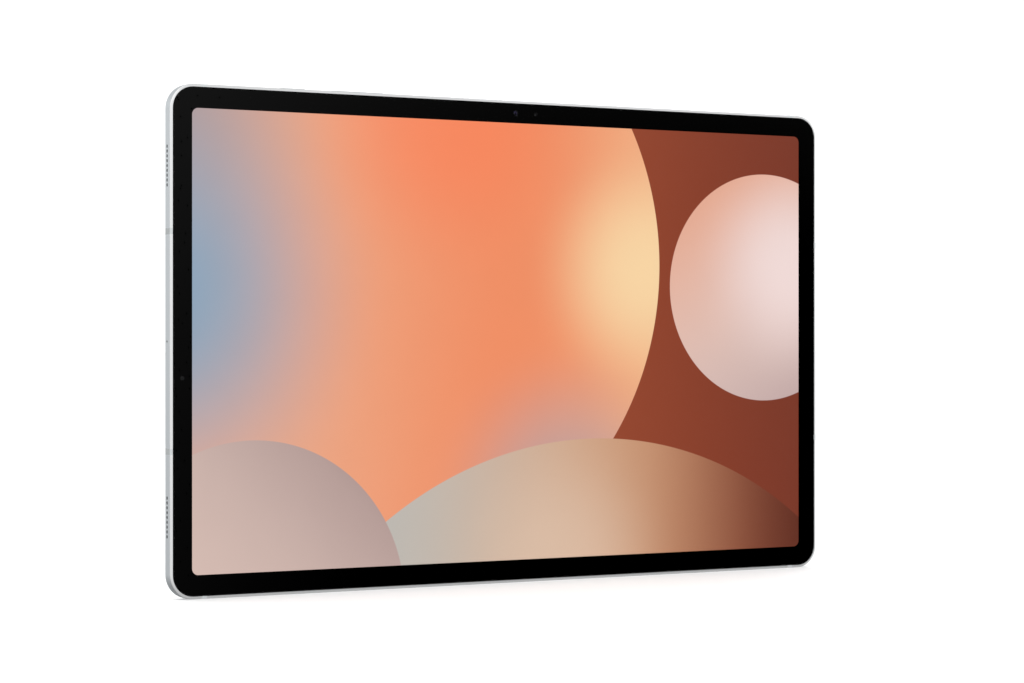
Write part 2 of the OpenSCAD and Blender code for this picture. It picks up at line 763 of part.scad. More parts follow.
// A sheet metal lid, open towards the board
module shield_can(w, h) difference() {
    plate(w, h, can_r, board_top_z, board_top_z + can_t);
    plate(w - 2 * can_wall, h - 2 * can_wall, can_r - can_wall, board_top_z - past,
        board_top_z + can_t - can_wall);
}

module shield_cans() upright() color([0.7, 0.71, 0.73])
    for (c = cans)
        translate([board_mid_x + c[0], board_mid_y + c[1], 0]) shield_can(c[2], c[3]);

module vapour_chamber() upright() color([0.72, 0.45, 0.3])
    translate([board_mid_x + cans[1][0], board_mid_y + cans[1][1], board_top_z + can_t])
        plate(cans[1][2] - 2 * chamber_inset, cans[1][3] - 2 * chamber_inset, chamber_r, 0, chamber_t);

module port_board() upright() color([0.1, 0.3, 0.2]) difference() {
    block(port_board_x0, port_board_x1, -port_board_h / 2, port_board_h / 2, board_z, board_top_z);
    block(port_x0 - port_cut_gap, port_board_x1 + past, -port_outer_w / 2 - port_cut_gap,
        port_outer_w / 2 + port_cut_gap, board_z - past, board_top_z + past);
    screw_clearance(port_screws);
}

// The socket's metal shell, with two ears soldered to the board
module port_shell() upright() color([0.75, 0.76, 0.78]) difference() {
    union() {
        translate([0, 0, port_z]) side_pill(port_outer_w, port_outer_t, port_x0, port_x1);
        for (s = [0, 1]) mirror([0, s, 0])
            block(port_x0 + ear_inset, port_x0 + ear_inset + ear_l, port_outer_w / 2 - ear_root,
                port_outer_w / 2 + ear_w, board_top_z, board_top_z + ear_t);
    }
    translate([0, 0, port_z]) side_pill(port_w, port_t, port_x0 - past, port_x1 + past);
}

module port_tongue() upright() color([0.08, 0.08, 0.09]) translate([0, 0, port_z]) {
    side_pill(port_w - 2 * screw_play, port_t - 2 * screw_play, port_x0, port_x0 + tongue_base_l);
    block(port_x0 + tongue_base_l - weld, port_x1 - tongue_short, -tongue_w / 2, tongue_w / 2,
        -tongue_t / 2, tongue_t / 2);
}

// Lies on the main board, crosses above the battery and comes down on the port board
module interconnect_flex() upright() color([0.75, 0.5, 0.15]) {
    z1 = board_top_z + flex_t;
    block(link_x0, link_x0 + 2 * link_w, link_y0, board_y0 + board_lap, board_top_z, z1);
    block(link_x0, link_x1, link_y0, link_y0 + link_w, board_top_z, z1);
    block(link_x1 - link_end_w, link_x1, port_board_h / 2 - 2 * board_lap, link_y0 + link_w,
        board_top_z, z1);
}

module board_screw() {
    translate([0, 0, board_top_z - screw_l]) cylinder(d = screw_d, h = screw_l);
    translate([0, 0, board_top_z]) cylinder(d = screw_head_d, h = screw_head_t);
}

module board_screws() upright() color([0.3, 0.3, 0.32]) at_places(board_screw_list) board_screw();

module speaker_screws() upright() color([0.3, 0.3, 0.32]) at_places(speaker_screw_list) board_screw();

// ---- Battery ----

module battery_cell() translate([(battery_x0 + battery_x1) / 2, (battery_y0 + battery_y1) / 2, 0])
    plate(battery_x1 - battery_x0, battery_y1 - battery_y0, battery_r, floor_z, floor_z + battery_t);

module battery_cell_left() upright() color([0.16, 0.16, 0.18]) mirror([1, 0, 0]) battery_cell();

module battery_cell_right() upright() color([0.16, 0.16, 0.18]) battery_cell();

// Lies against the heads of both cells, with a tail onto the main board
module battery_board() upright() color([0.1, 0.3, 0.2]) {
    z1 = board_top_z + flex_t;
    y1 = battery_y1 + battery_board_h;
    translate([battery_board_x, 0, 0]) {
        block(-battery_board_w / 2, battery_board_w / 2, battery_y1, y1, z1 - board_t, z1);
        block(-battery_tail_w / 2, battery_tail_w / 2, y1 - weld, board_y0 + board_lap, board_top_z, z1);
    }
}

// ---- Keys ----

module power_key() upright() color([0.84, 0.85, 0.86]) translate([power_x, 0, key_z]) {
    edge_pill(power_l, key_t, power_flange_y, key_top_y);
    edge_pill(power_l + 2 * key_flange, key_t + 2 * flange_step, power_flange_y, power_flange_y + flange_t);
    edge_bar(stem_d, dome_top_y, power_flange_y + weld);
}

// A rocker that stands on its middle foot and presses one switch at each end
module volume_key() upright() color([0.84, 0.85, 0.86]) translate([volume_x, 0, key_z]) {
    edge_pill(volume_l, key_t, rocker_flange_y + flange_t - weld, key_top_y);
    edge_pill(rocker_flange_l, key_t + 2 * flange_step, rocker_flange_y, rocker_flange_y + flange_t);
    block(-fulcrum_w / 2, fulcrum_w / 2, switch_y + seat_gap, rocker_flange_y + weld, -key_t / 2, key_t / 2);
    for (s = [-1, 1])
        translate([s * volume_reach, 0, 0]) edge_bar(stem_d, dome_top_y, rocker_flange_y + flange_t);
}

module dome() translate([0, switch_y, 0]) rotate([-90, 0, 0])
    cylinder(d1 = dome_base_d, d2 = dome_tip_d, h = dome_h);

module power_dome() upright() color([0.8, 0.8, 0.82]) translate([power_x, 0, key_z]) dome();

module volume_domes() upright() color([0.8, 0.8, 0.82])
    for (s = [-1, 1])
        translate([volume_x + s * volume_reach, 0, key_z]) dome();

module key_flex() upright() color([0.75, 0.5, 0.15]) {
    block(bracket_x0 + foot_w / 2, key_tail_x + key_tail_w, switch_y - bracket_seat_gap, switch_y,
        key_z - key_t / 2, key_z + key_t / 2);
    block(key_tail_x, key_tail_x + key_tail_w, switch_y - bracket_seat_gap, switch_y,
        board_top_z, key_z);
    block(key_tail_x, key_tail_x + key_tail_w, board_y1 - flex_lap, switch_y - bracket_seat_gap / 2,
        board_top_z, board_top_z + bracket_seat_gap);
}

// A folded strip behind the keys with two feet screwed to the housing
module key_bracket() upright() color([0.6, 0.61, 0.63]) difference() {
    union() {
        block(bracket_x0, bracket_x1, bracket_y, bracket_y + bracket_t,
            key_z - bracket_low, key_z + bracket_high);
        for (x = [bracket_x0, bracket_x1 - foot_w])
            block(x, x + foot_w, bracket_y + bracket_t - foot_h, bracket_y + bracket_t,
                board_z, board_top_z);
    }
    screw_clearance(bracket_screws);
}

// ---- Card tray ----

module card_tray() upright() color([0.83, 0.84, 0.85]) translate([tray_x, 0, tray_z]) difference() {
    union() {
        edge_pill(tray_face_l, tray_face_t, tray_face_y, top_y);
        block(tray_lane_x - tray_w / 2, tray_lane_x + tray_w / 2, tray_end_y, tray_face_y + weld,
            -tray_t / 2, tray_t / 2);
    }
    for (c = cards) {
        block(tray_lane_x - c[1] / 2, tray_lane_x + c[1] / 2, tray_end_y + c[0], tray_end_y + c[0] + c[2],
            tray_t / 2 - card_depth, tray_t / 2 + past);
        block(tray_lane_x - c[1] / 2 + card_ledge, tray_lane_x + c[1] / 2 - card_ledge,
            tray_end_y + c[0] + card_ledge, tray_end_y + c[0] + c[2] - card_ledge, -tray_t, tray_t);
    }
    translate([rod_x, 0, 0]) edge_bar(pinhole_d, tray_face_y - past, top_y + past);
}

// A folded sheet socket on the main board, with a wall between the tray and the rod
module tray_socket() upright() color([0.7, 0.71, 0.73]) translate([tray_x, 0, tray_z]) {
    difference() {
        block(socket_x0, socket_x1, socket_y0, socket_y1, -socket_t / 2, socket_t / 2);
        block(socket_x0 + socket_wall, socket_x1 - socket_wall, socket_y0 + socket_wall, socket_y1 + past,
            -socket_t / 2 + socket_wall, socket_t / 2 - socket_wall);
    }
    block(lane_wall_x, lane_wall_x + socket_wall, socket_y1 - lane_wall_l, socket_y1,
        -socket_t / 2 + socket_wall / 2, socket_t / 2 - socket_wall / 2);
}

module eject_rod() upright() color([0.65, 0.66, 0.68]) translate([tray_x + rod_x, 0, tray_z]) {
    block(-rod_w / 2, rod_w / 2, rod_end_y + rod_w, tray_face_y - rod_top_gap, -rod_t / 2, rod_t / 2);
    block(-rod_w / 2 + rod_nose_step, rod_w / 2 - rod_nose_step, rod_end_y, rod_end_y + rod_w + weld,
        -rod_t / 2, rod_t / 2);
}

module eject_lever() upright() color([0.6, 0.61, 0.63]) translate([tray_x + lever_x, lever_y, tray_z])
    difference() {
        translate([(lever_rod_arm - lever_tray_arm) / 2, 0, -lever_t / 2])
            linear_extrude(lever_t) pill(lever_rod_arm + lever_tray_arm + lever_w, lever_w);
        translate([0, 0, -lever_t]) cylinder(r = lever_pin_d / 2 + lever_play, h = 2 * lever_t);
    }

module lever_pin() upright() color([0.75, 0.76, 0.78])
    translate([tray_x + lever_x, lever_y, tray_z - socket_t / 2 + socket_wall])
        cylinder(d = lever_pin_d, h = socket_t - 2 * socket_wall);

module eject_slider() upright() color([0.65, 0.66, 0.68]) translate([tray_x + slider_x, 0, tray_z])
    block(-slider_w / 2, slider_w / 2, slider_y, slider_y + slider_t, -tray_t / 2, tray_t / 2);

// ---- Sound ----

// A speaker box in the top right corner, with its well, its outlet towards the slots and two ears
module speaker() difference() {
    union() {
        translate([speaker_x, slot_y, 0]) plate(speaker_w, speaker_h, box_r, floor_z, floor_z + speaker_t);
        block(speaker_x - ear_width / 2, speaker_x + ear_width / 2, slot_y - speaker_h / 2 - ear_reach,
            slot_y + speaker_h / 2 + ear_reach, board_z, board_top_z);
    }
    translate([speaker_x, slot_y, 0]) oval(well_w, well_h, well_floor_z, front_z);
    translate([speaker_x, slot_y, 0])
        oval(well_w + 2 * diaphragm_lap, well_h + 2 * diaphragm_lap, floor_z + speaker_t - diaphragm_sink,
            front_z);
    block(speaker_x, speaker_x + speaker_w, slot_y - slot_run / 2, slot_y + slot_run / 2,
        slot_z - slot_w / 2, slot_z + slot_w / 2);
    screw_clearance([for (e = [-1, 1]) [speaker_x, slot_y + e * speaker_screw_y]]);
}

// A copy of the child in each of the four speakers' places
module each_speaker() for (mx = [0, 1], my = [0, 1]) mirror([mx, 0, 0]) mirror([0, my, 0]) children();

module speaker_top_right() upright() color([0.1, 0.1, 0.11]) speaker();

module speaker_bottom_right() upright() color([0.1, 0.1, 0.11]) mirror([0, 1, 0]) speaker();

module speaker_top_left() upright() color([0.1, 0.1, 0.11]) mirror([1, 0, 0]) speaker();

module speaker_bottom_left() upright() color([0.1, 0.1, 0.11]) mirror([1, 0, 0]) mirror([0, 1, 0]) speaker();

module speaker_magnets() upright() color([0.5, 0.5, 0.52]) each_speaker()
    translate([speaker_x, slot_y, 0]) oval(magnet_w, magnet_h, well_floor_z, well_floor_z + magnet_t);

module speaker_diaphragms() upright() color([0.2, 0.2, 0.22]) each_speaker()
    translate([speaker_x, slot_y, floor_z + speaker_t - diaphragm_sink])
        oval(well_w + 2 * diaphragm_lap - 2 * seat_gap, well_h + 2 * diaphragm_lap - 2 * seat_gap,
            0, diaphragm_t);

module speaker_meshes() upright() color([0.07, 0.07, 0.07]) each_speaker()
    block(inner_x - mesh_t, inner_x, slot_y - slot_run / 2 - mesh_lap, slot_y + slot_run / 2 + mesh_lap,
        slot_z - mesh_h / 2, slot_z + mesh_h / 2);

module microphone() upright() color([0.72, 0.65, 0.4])
    block(-inner_x, -inner_x + mic_depth, -mic_l / 2, mic_l / 2, slot_z - mic_h / 2, slot_z + mic_h / 2);

// ---- Cameras and sensors ----

module front_camera() upright() color([0.08, 0.08, 0.09]) {
    y1 = bezel_mid_y + front_module_top;
    block(-front_module_w / 2, front_module_w / 2, y1 - front_module_h, y1,
        floor_z, floor_z + front_module_t);
    translate([0, bezel_mid_y, floor_z + front_module_t - weld])
        cylinder(d = front_barrel_d, h = ink_back_z - seat_gap - floor_z - front_module_t + weld);
}

module front_camera_window() upright() color([0.05, 0.05, 0.1]) translate([0, bezel_mid_y, ink_back_z])
    cylinder(d = front_window_d, h = ink_t);

module front_camera_flex() upright() color([0.75, 0.5, 0.15])
    block(-front_flex_w / 2, front_flex_w / 2, board_y1 - flex_lap,
        bezel_mid_y + front_module_top - front_module_h, board_top_z, board_top_z + flex_t);

module light_sensors() upright() color([0.06, 0.06, 0.07]) at_places(sensors)
    block(-post_w / 2, post_w / 2, -post_w / 2, post_w / 2, floor_z, ink_back_z);

module rear_camera(x) translate([x, camera_y, 0]) {
    block(-camera_w / 2, camera_w / 2, -camera_w / 2, camera_w / 2, floor_z, floor_z + camera_t);
    translate([0, 0, barrel_tip_z]) cylinder(d = barrel_d, h = floor_z - barrel_tip_z + weld);
}

module rear_camera_main() upright() color([0.08, 0.08, 0.09]) rear_camera(camera_xs[0]);

module rear_camera_wide() upright() color([0.08, 0.08, 0.09]) rear_camera(camera_xs[1]);

// A turned ring: a spigot through the back wall and a proud rim that holds the cover glass
module camera_ring() rotate_extrude() difference() {
    union() {
        translate([ring_bore_d / 2, back_z - ring_proud])
            square([(ring_d - ring_bore_d) / 2, ring_proud + ring_sink]);
        translate([ring_bore_d / 2, back_z]) square([(spigot_d - ring_bore_d) / 2, back_wall]);
    }
    translate([0, back_z - ring_proud - past])
        square([lens_glass_d / 2 + seat_gap, ring_ledge_z - back_z + ring_proud + past]);
    polygon([[ring_d / 2 - ring_bevel, back_z - ring_proud], [ring_d / 2, back_z - ring_proud + ring_bevel],
        [ring_d / 2 + past, back_z - ring_proud + ring_bevel],
        [ring_d / 2 + past, back_z - ring_proud - past],
        [ring_d / 2 - ring_bevel, back_z - ring_proud - past]]);
}

module camera_rings() upright() color([0.8, 0.81, 0.82]) at_places([for (x = camera_xs) [x, camera_y]])
    camera_ring();

module camera_glasses() upright() color([0.05, 0.05, 0.07]) at_places([for (x = camera_xs) [x, camera_y]])
    translate([0, 0, ring_ledge_z - lens_glass_t]) cylinder(d = lens_glass_d, h = lens_glass_t);

module flash_window() upright() color([0.95, 0.95, 0.9]) translate([flash_x, camera_y, back_z])
    cylinder(d = flash_d, h = back_wall);

module flash_led() upright() color([0.95, 0.85, 0.3])
    block(flash_x - led_w / 2, flash_x + led_w / 2, camera_y - led_w / 2, camera_y + led_w / 2,
        floor_z, board_z);

// ---- Pen and keyboard ----

module pen_strip() upright() color([0.08, 0.08, 0.09]) translate([strip_mid_x, camera_y, 0])
    plate(strip_l, strip_h, strip_r, back_z, back_z + strip_t);

module pen_coil() upright() color([0.72, 0.42, 0.2]) translate([coil_x, camera_y, 0]) rotate(90)
    difference() {
        oval(coil_h, coil_l, floor_z, floor_z + coil_t);
        oval(coil_h - 2 * coil_band, coil_l - 2 * coil_band, floor_z - past, front_z);
    }

module pen_magnets() upright() color([0.6, 0.6, 0.62])
    for (x = pen_magnet_xs)
        translate([x, camera_y, 0])
            plate(pen_magnet_l, pen_magnet_h, magnet_r, floor_z, floor_z + pen_magnet_t);

module contact_insert() upright() color([0.2, 0.2, 0.21]) translate([0, contact_y, 0]) difference() {
    union() {
        translate([0, 0, back_z]) linear_extrude(back_wall) pill(contact_l, contact_h);
        translate([0, 0, floor_z]) linear_extrude(contact_flange_t)
            pill(contact_l + 2 * contact_flange, contact_h + 2 * contact_flange);
    }
    for (i = [-1 : 1])
        translate([i * pad_pitch, 0, back_z - past]) cylinder(d = pad_d + seat_gap, h = body_t);
}

module contact_pads() upright() color([0.85, 0.7, 0.35])
    for (i = [-1 : 1])
        translate([i * pad_pitch, contact_y, back_z + pad_sink])
            cylinder(d = pad_d, h = back_wall + pad_tail);

module cover_magnets() upright() color([0.6, 0.6, 0.62])
    for (x = cover_magnet_xs)
        translate([x, contact_y, 0])
            plate(cover_magnet_l, cover_magnet_h, magnet_r, floor_z, floor_z + cover_magnet_t);

// ---- Antenna cables ----

// A straight run of cable along X from x0 to x1
module run_x(x0, x1, y) translate([x0, y, cable_z]) rotate([0, 90, 0]) cylinder(d = cable_d, h = x1 - x0);

module run_y(x, y0, y1) translate([x, y0, cable_z]) rotate([-90, 0, 0]) cylinder(d = cable_d, h = y1 - y0);

// A quarter bend about a centre, starting at an angle
module bend(x, y, a) translate([x, y, cable_z]) rotate([0, 0, a])
    rotate_extrude(angle = 90) translate([cable_bend_r, 0]) circle(d = cable_d);

module antenna_cables() upright() color([0.12, 0.12, 0.13]) {
    r = cable_bend_r;
    up_x = right_x - cable_inset_x;
    y0 = cable_right_y;
    y1 = top_y - cable_inset_y;
    run_x(board_x1, up_x - r, y0);
    bend(up_x - r, y0 + r, 270);
    run_y(up_x, y0 + r, y1 - r);
    bend(up_x + r, y1 - r, 90);
    run_x(up_x + r, band_x, y1);
    low_y = cable_end_y;
    start_y = cable_left_y;
    run_x(-up_x + r, board_x0, start_y);
    bend(-up_x + r, start_y - r, 90);
    run_y(-up_x, low_y + r, start_y - r);
    bend(-up_x - r, low_y + r, 270);
    run_x(-inner_x + cable_end_gap, -up_x - r, low_y);
}

back_housing();
antenna_bands();
cover_glass();
black_border();
display_gasket();
display_panel();
pen_digitizer();
graphite_sheet();
display_flex();
main_board();
board_chips();
shield_cans();
vapour_chamber();
battery_cell_left();
battery_cell_right();
battery_board();
port_board();
port_shell();
port_tongue();
interconnect_flex();
power_key();
volume_key();
power_dome();
volume_domes();
key_flex();
key_bracket();
card_tray();
tray_socket();
eject_rod();
eject_lever();
eject_slider();
lever_pin();
speaker_top_left();
speaker_bottom_left();
speaker_top_right();
speaker_bottom_right();
speaker_magnets();
speaker_diaphragms();
speaker_meshes();
microphone();
front_camera();
front_camera_window();
front_camera_flex();
light_sensors();
rear_camera_main();
rear_camera_wide();
camera_rings();
camera_glasses();
flash_led();
flash_window();
pen_strip();
pen_coil();
pen_magnets();
contact_insert();
contact_pads();
cover_magnets();
antenna_cables();
board_screws();
speaker_screws();
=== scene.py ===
import math

import bmesh
import bpy
from mathutils import Matrix, Vector


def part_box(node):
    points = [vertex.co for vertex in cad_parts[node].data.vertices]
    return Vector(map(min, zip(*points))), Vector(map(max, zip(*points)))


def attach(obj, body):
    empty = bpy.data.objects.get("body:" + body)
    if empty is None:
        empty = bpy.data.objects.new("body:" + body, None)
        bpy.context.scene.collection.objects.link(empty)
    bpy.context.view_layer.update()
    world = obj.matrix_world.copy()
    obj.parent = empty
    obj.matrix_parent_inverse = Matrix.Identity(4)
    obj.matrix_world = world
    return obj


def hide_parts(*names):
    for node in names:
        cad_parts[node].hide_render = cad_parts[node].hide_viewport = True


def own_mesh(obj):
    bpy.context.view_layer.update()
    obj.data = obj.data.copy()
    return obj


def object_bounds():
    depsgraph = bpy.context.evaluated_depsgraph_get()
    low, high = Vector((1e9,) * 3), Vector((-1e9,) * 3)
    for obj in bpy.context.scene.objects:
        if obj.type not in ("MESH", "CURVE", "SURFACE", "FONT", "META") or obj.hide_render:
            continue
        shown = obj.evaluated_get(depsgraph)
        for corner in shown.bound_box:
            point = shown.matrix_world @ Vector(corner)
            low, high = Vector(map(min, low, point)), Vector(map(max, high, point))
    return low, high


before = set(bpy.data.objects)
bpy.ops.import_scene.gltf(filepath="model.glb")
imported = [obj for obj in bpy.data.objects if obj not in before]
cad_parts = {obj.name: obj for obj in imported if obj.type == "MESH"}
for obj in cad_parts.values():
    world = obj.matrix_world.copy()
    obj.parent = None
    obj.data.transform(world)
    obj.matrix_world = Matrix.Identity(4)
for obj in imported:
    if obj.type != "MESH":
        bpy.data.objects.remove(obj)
cad_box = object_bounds()

MM = 0.001


# ---- Camera ----
# A long lens stands level with the middle of the screen, about a metre away and 30 degrees round
# to the left, so the left side of the rim shows.
cover_low, cover_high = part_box("cover_glass")
screen_middle = Vector(((cover_low.x + cover_high.x) / 2, cover_low.y, (cover_low.z + cover_high.z) / 2))
camera_yaw = math.radians(29.8)
camera_distance = 0.9975
camera_step_left = 0.0016
view_direction = Vector((math.sin(camera_yaw), math.cos(camera_yaw), 0))
view_right = Vector((math.cos(camera_yaw), -math.sin(camera_yaw), 0))

camera_data = bpy.data.cameras.new("camera")
camera_data.lens = 91.1
camera_data.sensor_width = 36
camera_data.clip_start = 0.01
camera_data.clip_end = 100
camera = bpy.data.objects.new("camera", camera_data)
camera.location = screen_middle - view_direction * camera_distance - view_right * camera_step_left
camera.rotation_euler = (math.radians(90), 0, -camera_yaw)
bpy.context.collection.objects.link(camera)
bpy.context.scene.camera = camera
bpy.context.scene.view_settings.view_transform = "Standard"


# ---- Studio light ----
# White all round for the eye and for soft fill. What the glass mirrors is a black card held in
# front of the screen and to the right, and what the metal mirrors is a bright surround.
def hex_colour(text, alpha=1.0):
    """An sRGB colour such as "#C8CACD", turned to the linear values that shaders take."""
    parts = [int(text[i : i + 2], 16) / 255 for i in (1, 3, 5)]
    return tuple(c / 12.92 if c <= 0.04045 else ((c + 0.055) / 1.055) ** 2.4 for c in parts) + (alpha,)


def add_node(tree, kind, settings=None, links=None):
    """Adds a node. A lower-case setting is the node's own, any other is a socket; links feed sockets."""
    made = tree.nodes.new(kind)
    for name, value in (settings or {}).items():
        if isinstance(name, str) and name[0].islower():
            setattr(made, name, value)
        else:
            made.inputs[name].default_value = value
    for name, source in (links or {}).items():
        tree.links.new(source, made.inputs[name])
    return made


world = bpy.data.worlds.new("studio")
bpy.context.scene.world = world
world.use_nodes = True
sky = world.node_tree
sky.nodes.clear()
world.cycles.sampling_method = "NONE"       # so that each kind of ray sees the surround meant for it
fill_strength = 1.35
card_azimuth = math.radians(34)             # to the right of straight in front
card_core = math.radians(7)                 # black inside this angle from the card's middle
card_edge = math.radians(24)                # and gone outside this one
card_middle = (math.sin(card_azimuth), -math.cos(card_azimuth), -0.09)
direction = add_node(sky, "ShaderNodeTexCoord")
split = add_node(sky, "ShaderNodeSeparateXYZ", links={0: direction.outputs["Generated"]})
# How bright the surround is at each height, from well below level to well above it
height = add_node(
    sky, "ShaderNodeMapRange", {"From Min": -0.5, "From Max": 0.5}, {"Value": split.outputs["Z"]}
)
levels = []
for stops in (
    ((0.0, 0.42), (0.4, 0.84), (0.56, 1.02), (0.78, 0.84), (1.0, 0.76)),   # in front of the screen
    ((0.0, 0.24), (0.4, 0.64), (0.68, 1.24), (0.88, 0.82), (1.0, 0.7)),    # behind the back
):
    level = add_node(sky, "ShaderNodeValToRGB", links={0: height.outputs[0]})
    level.color_ramp.interpolation = "B_SPLINE"
    for stop, (position, grey) in zip(level.color_ramp.elements, (stops[0], stops[-1])):
        stop.position, stop.color = position, (grey, grey, grey, 1)
    for position, grey in stops[1:-1]:
        level.color_ramp.elements.new(position).color = (grey, grey, grey, 1)
    levels.append(level.outputs["Color"])
rear_share = add_node(
    sky, "ShaderNodeMapRange", {"interpolation_type": "SMOOTHSTEP", "From Min": -0.3, "From Max": 0.5},
    {"Value": split.outputs["Y"]},
)
surround = add_node(
    sky, "ShaderNodeMix", {"data_type": "FLOAT"},
    {"Factor": rear_share.outputs[0], "A": levels[0], "B": levels[1]},
)
off_card = add_node(
    sky, "ShaderNodeVectorMath", {"operation": "DISTANCE", 1: card_middle},
    {0: direction.outputs["Generated"]},
)
card = add_node(
    sky, "ShaderNodeMapRange",
    {"interpolation_type": "SMOOTHSTEP", "From Min": card_core, "From Max": card_edge},
    {"Value": off_card.outputs["Value"]},
)
mirrored = add_node(
    sky, "ShaderNodeMath", {"operation": "MULTIPLY"}, {0: surround.outputs[0], 1: card.outputs[0]}
)
rays = add_node(sky, "ShaderNodeLightPath")
unmirrored = add_node(
    sky, "ShaderNodeMath", {"operation": "MAXIMUM"},
    {0: rays.outputs["Is Camera Ray"], 1: rays.outputs["Is Diffuse Ray"]},
)
strength = add_node(
    sky, "ShaderNodeMix", {"data_type": "FLOAT", "B": fill_strength},
    {"Factor": unmirrored.outputs[0], "A": mirrored.outputs[0]},
)
backdrop = add_node(sky, "ShaderNodeBackground", {"Color": (1, 1, 1, 1)}, {"Strength": strength.outputs[0]})
add_node(sky, "ShaderNodeOutputWorld", links={"Surface": backdrop.outputs[0]})

middle = (cad_box[0] + cad_box[1]) / 2
for name, offset, size, watts in (
    ("key_light", Vector((-0.5, -0.9, 0.9)), 1.2, 1.5),
    ("top_light", Vector((0.1, 0.2, 1.1)), 0.9, 0.8),
    ("back_light", Vector((0.9, 0.8, 0.5)), 0.7, 2.5),
):
    lamp = bpy.data.lights.new(name, "AREA")
    lamp.shape = "SQUARE"
    lamp.size = size
    lamp.energy = watts
    light = bpy.data.objects.new(name, lamp)
    light.location = middle + offset
    light.rotation_euler = (-offset).to_track_quat("-Z", "Y").to_euler()
    bpy.context.collection.objects.link(light)


# ---- Floor ----
# A matt white sweep that runs out to the horizon. It isn't mirrored in the glass, because the
# tablet is shown with nothing but white round it.
def new_material(name, **constants):
    """A material with one Principled shader, whose constant sockets are given by name."""
    made = bpy.data.materials.new(name)
    made.use_nodes = True
    tree = made.node_tree
    tree.nodes.clear()
    settings = {key.replace("_", " "): value for key, value in constants.items()}
    shader = add_node(tree, "ShaderNodeBsdfPrincipled", settings)
    add_node(tree, "ShaderNodeOutputMaterial", links={"Surface": shader.outputs[0]})
    return made, tree, shader


def new_object(name, mesh):
    """An object at the origin that shows this mesh."""
    made = bpy.data.objects.new(name, mesh)
    bpy.context.collection.objects.link(made)
    return made


def mesh_piece(name, corners, faces, material):
    """A new object at the origin with this mesh and one material."""
    mesh = bpy.data.meshes.new(name)
    mesh.from_pydata([tuple(c) for c in corners], [], faces)
    mesh.validate()
    mesh.materials.append(material)
    return new_object(name, mesh)


floor_reach = 20.0
# Paper with a fine fibre. It glows a little, which keeps the tablet's shadow on it faint.
paper, tree, shader = new_material(
    "matt_white_paper", Roughness=0.9, Emission_Color=(1, 1, 1, 1), Emission_Strength=0.12
)
place = add_node(tree, "ShaderNodeTexCoord")
fibre = add_node(
    tree, "ShaderNodeTexNoise", {"Scale": 900.0, "Detail": 3.0}, {"Vector": place.outputs["Object"]}
)
tone = add_node(
    tree, "ShaderNodeMapRange", {"To Min": 0.88, "To Max": 0.92}, {"Value": fibre.outputs["Fac"]}
)
tree.links.new(tone.outputs[0], shader.inputs["Base Color"])
floor = mesh_piece(
    "floor",
    [(x * floor_reach, y * floor_reach, cad_box[0].z) for x, y in ((-1, -1), (1, -1), (1, 1), (-1, 1))],
    [(0, 1, 2, 3)],
    paper,
)
floor.visible_glossy = False
floor.visible_transmission = False


# ---- Housing ----
# One piece of aluminium, milled to the rim and the back, with pockets for everything else. It is
# blasted with fine glass beads and anodised silver, and its front lip is cut bright with a diamond.
def grained(name, dark, light, grain, rough, bump=0.0, stretch=(1, 1, 1), **constants):
    """A finish that varies between two colours in grains of a size in metres, with its own relief."""
    made, tree, shader = new_material(name, **constants)
    place = add_node(tree, "ShaderNodeTexCoord")
    fitted = add_node(tree, "ShaderNodeMapping", {"Scale": stretch}, {"Vector": place.outputs["Object"]})
    noise = add_node(
        tree, "ShaderNodeTexNoise", {"Scale": 1 / grain, "Detail": 3.0}, {"Vector": fitted.outputs[0]}
    )
    level = add_node(
        tree, "ShaderNodeMapRange", {"From Min": 0.3, "From Max": 0.7}, {"Value": noise.outputs["Fac"]}
    )
    colour = add_node(
        tree, "ShaderNodeMix", {"data_type": "RGBA", 6: hex_colour(dark), 7: hex_colour(light)},
        {0: level.outputs[0]},
    )
    tree.links.new(colour.outputs[2], shader.inputs["Base Color"])
    roughness = add_node(
        tree, "ShaderNodeMapRange", {"To Min": rough[0], "To Max": rough[1]}, {"Value": level.outputs[0]}
    )
    tree.links.new(roughness.outputs[0], shader.inputs["Roughness"])
    if bump:
        relief = add_node(
            tree, "ShaderNodeBump", {"Strength": bump, "Distance": grain / 8},
            {"Height": noise.outputs["Fac"]},
        )
        tree.links.new(relief.outputs[0], shader.inputs["Normal"])
    return made


def paint(material, *nodes):
    """Gives CAD nodes their finish."""
    for node in nodes:
        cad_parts[node].material_slots[0].material = material


crease = math.radians(28)                   # edges that turn by more than this stay sharp


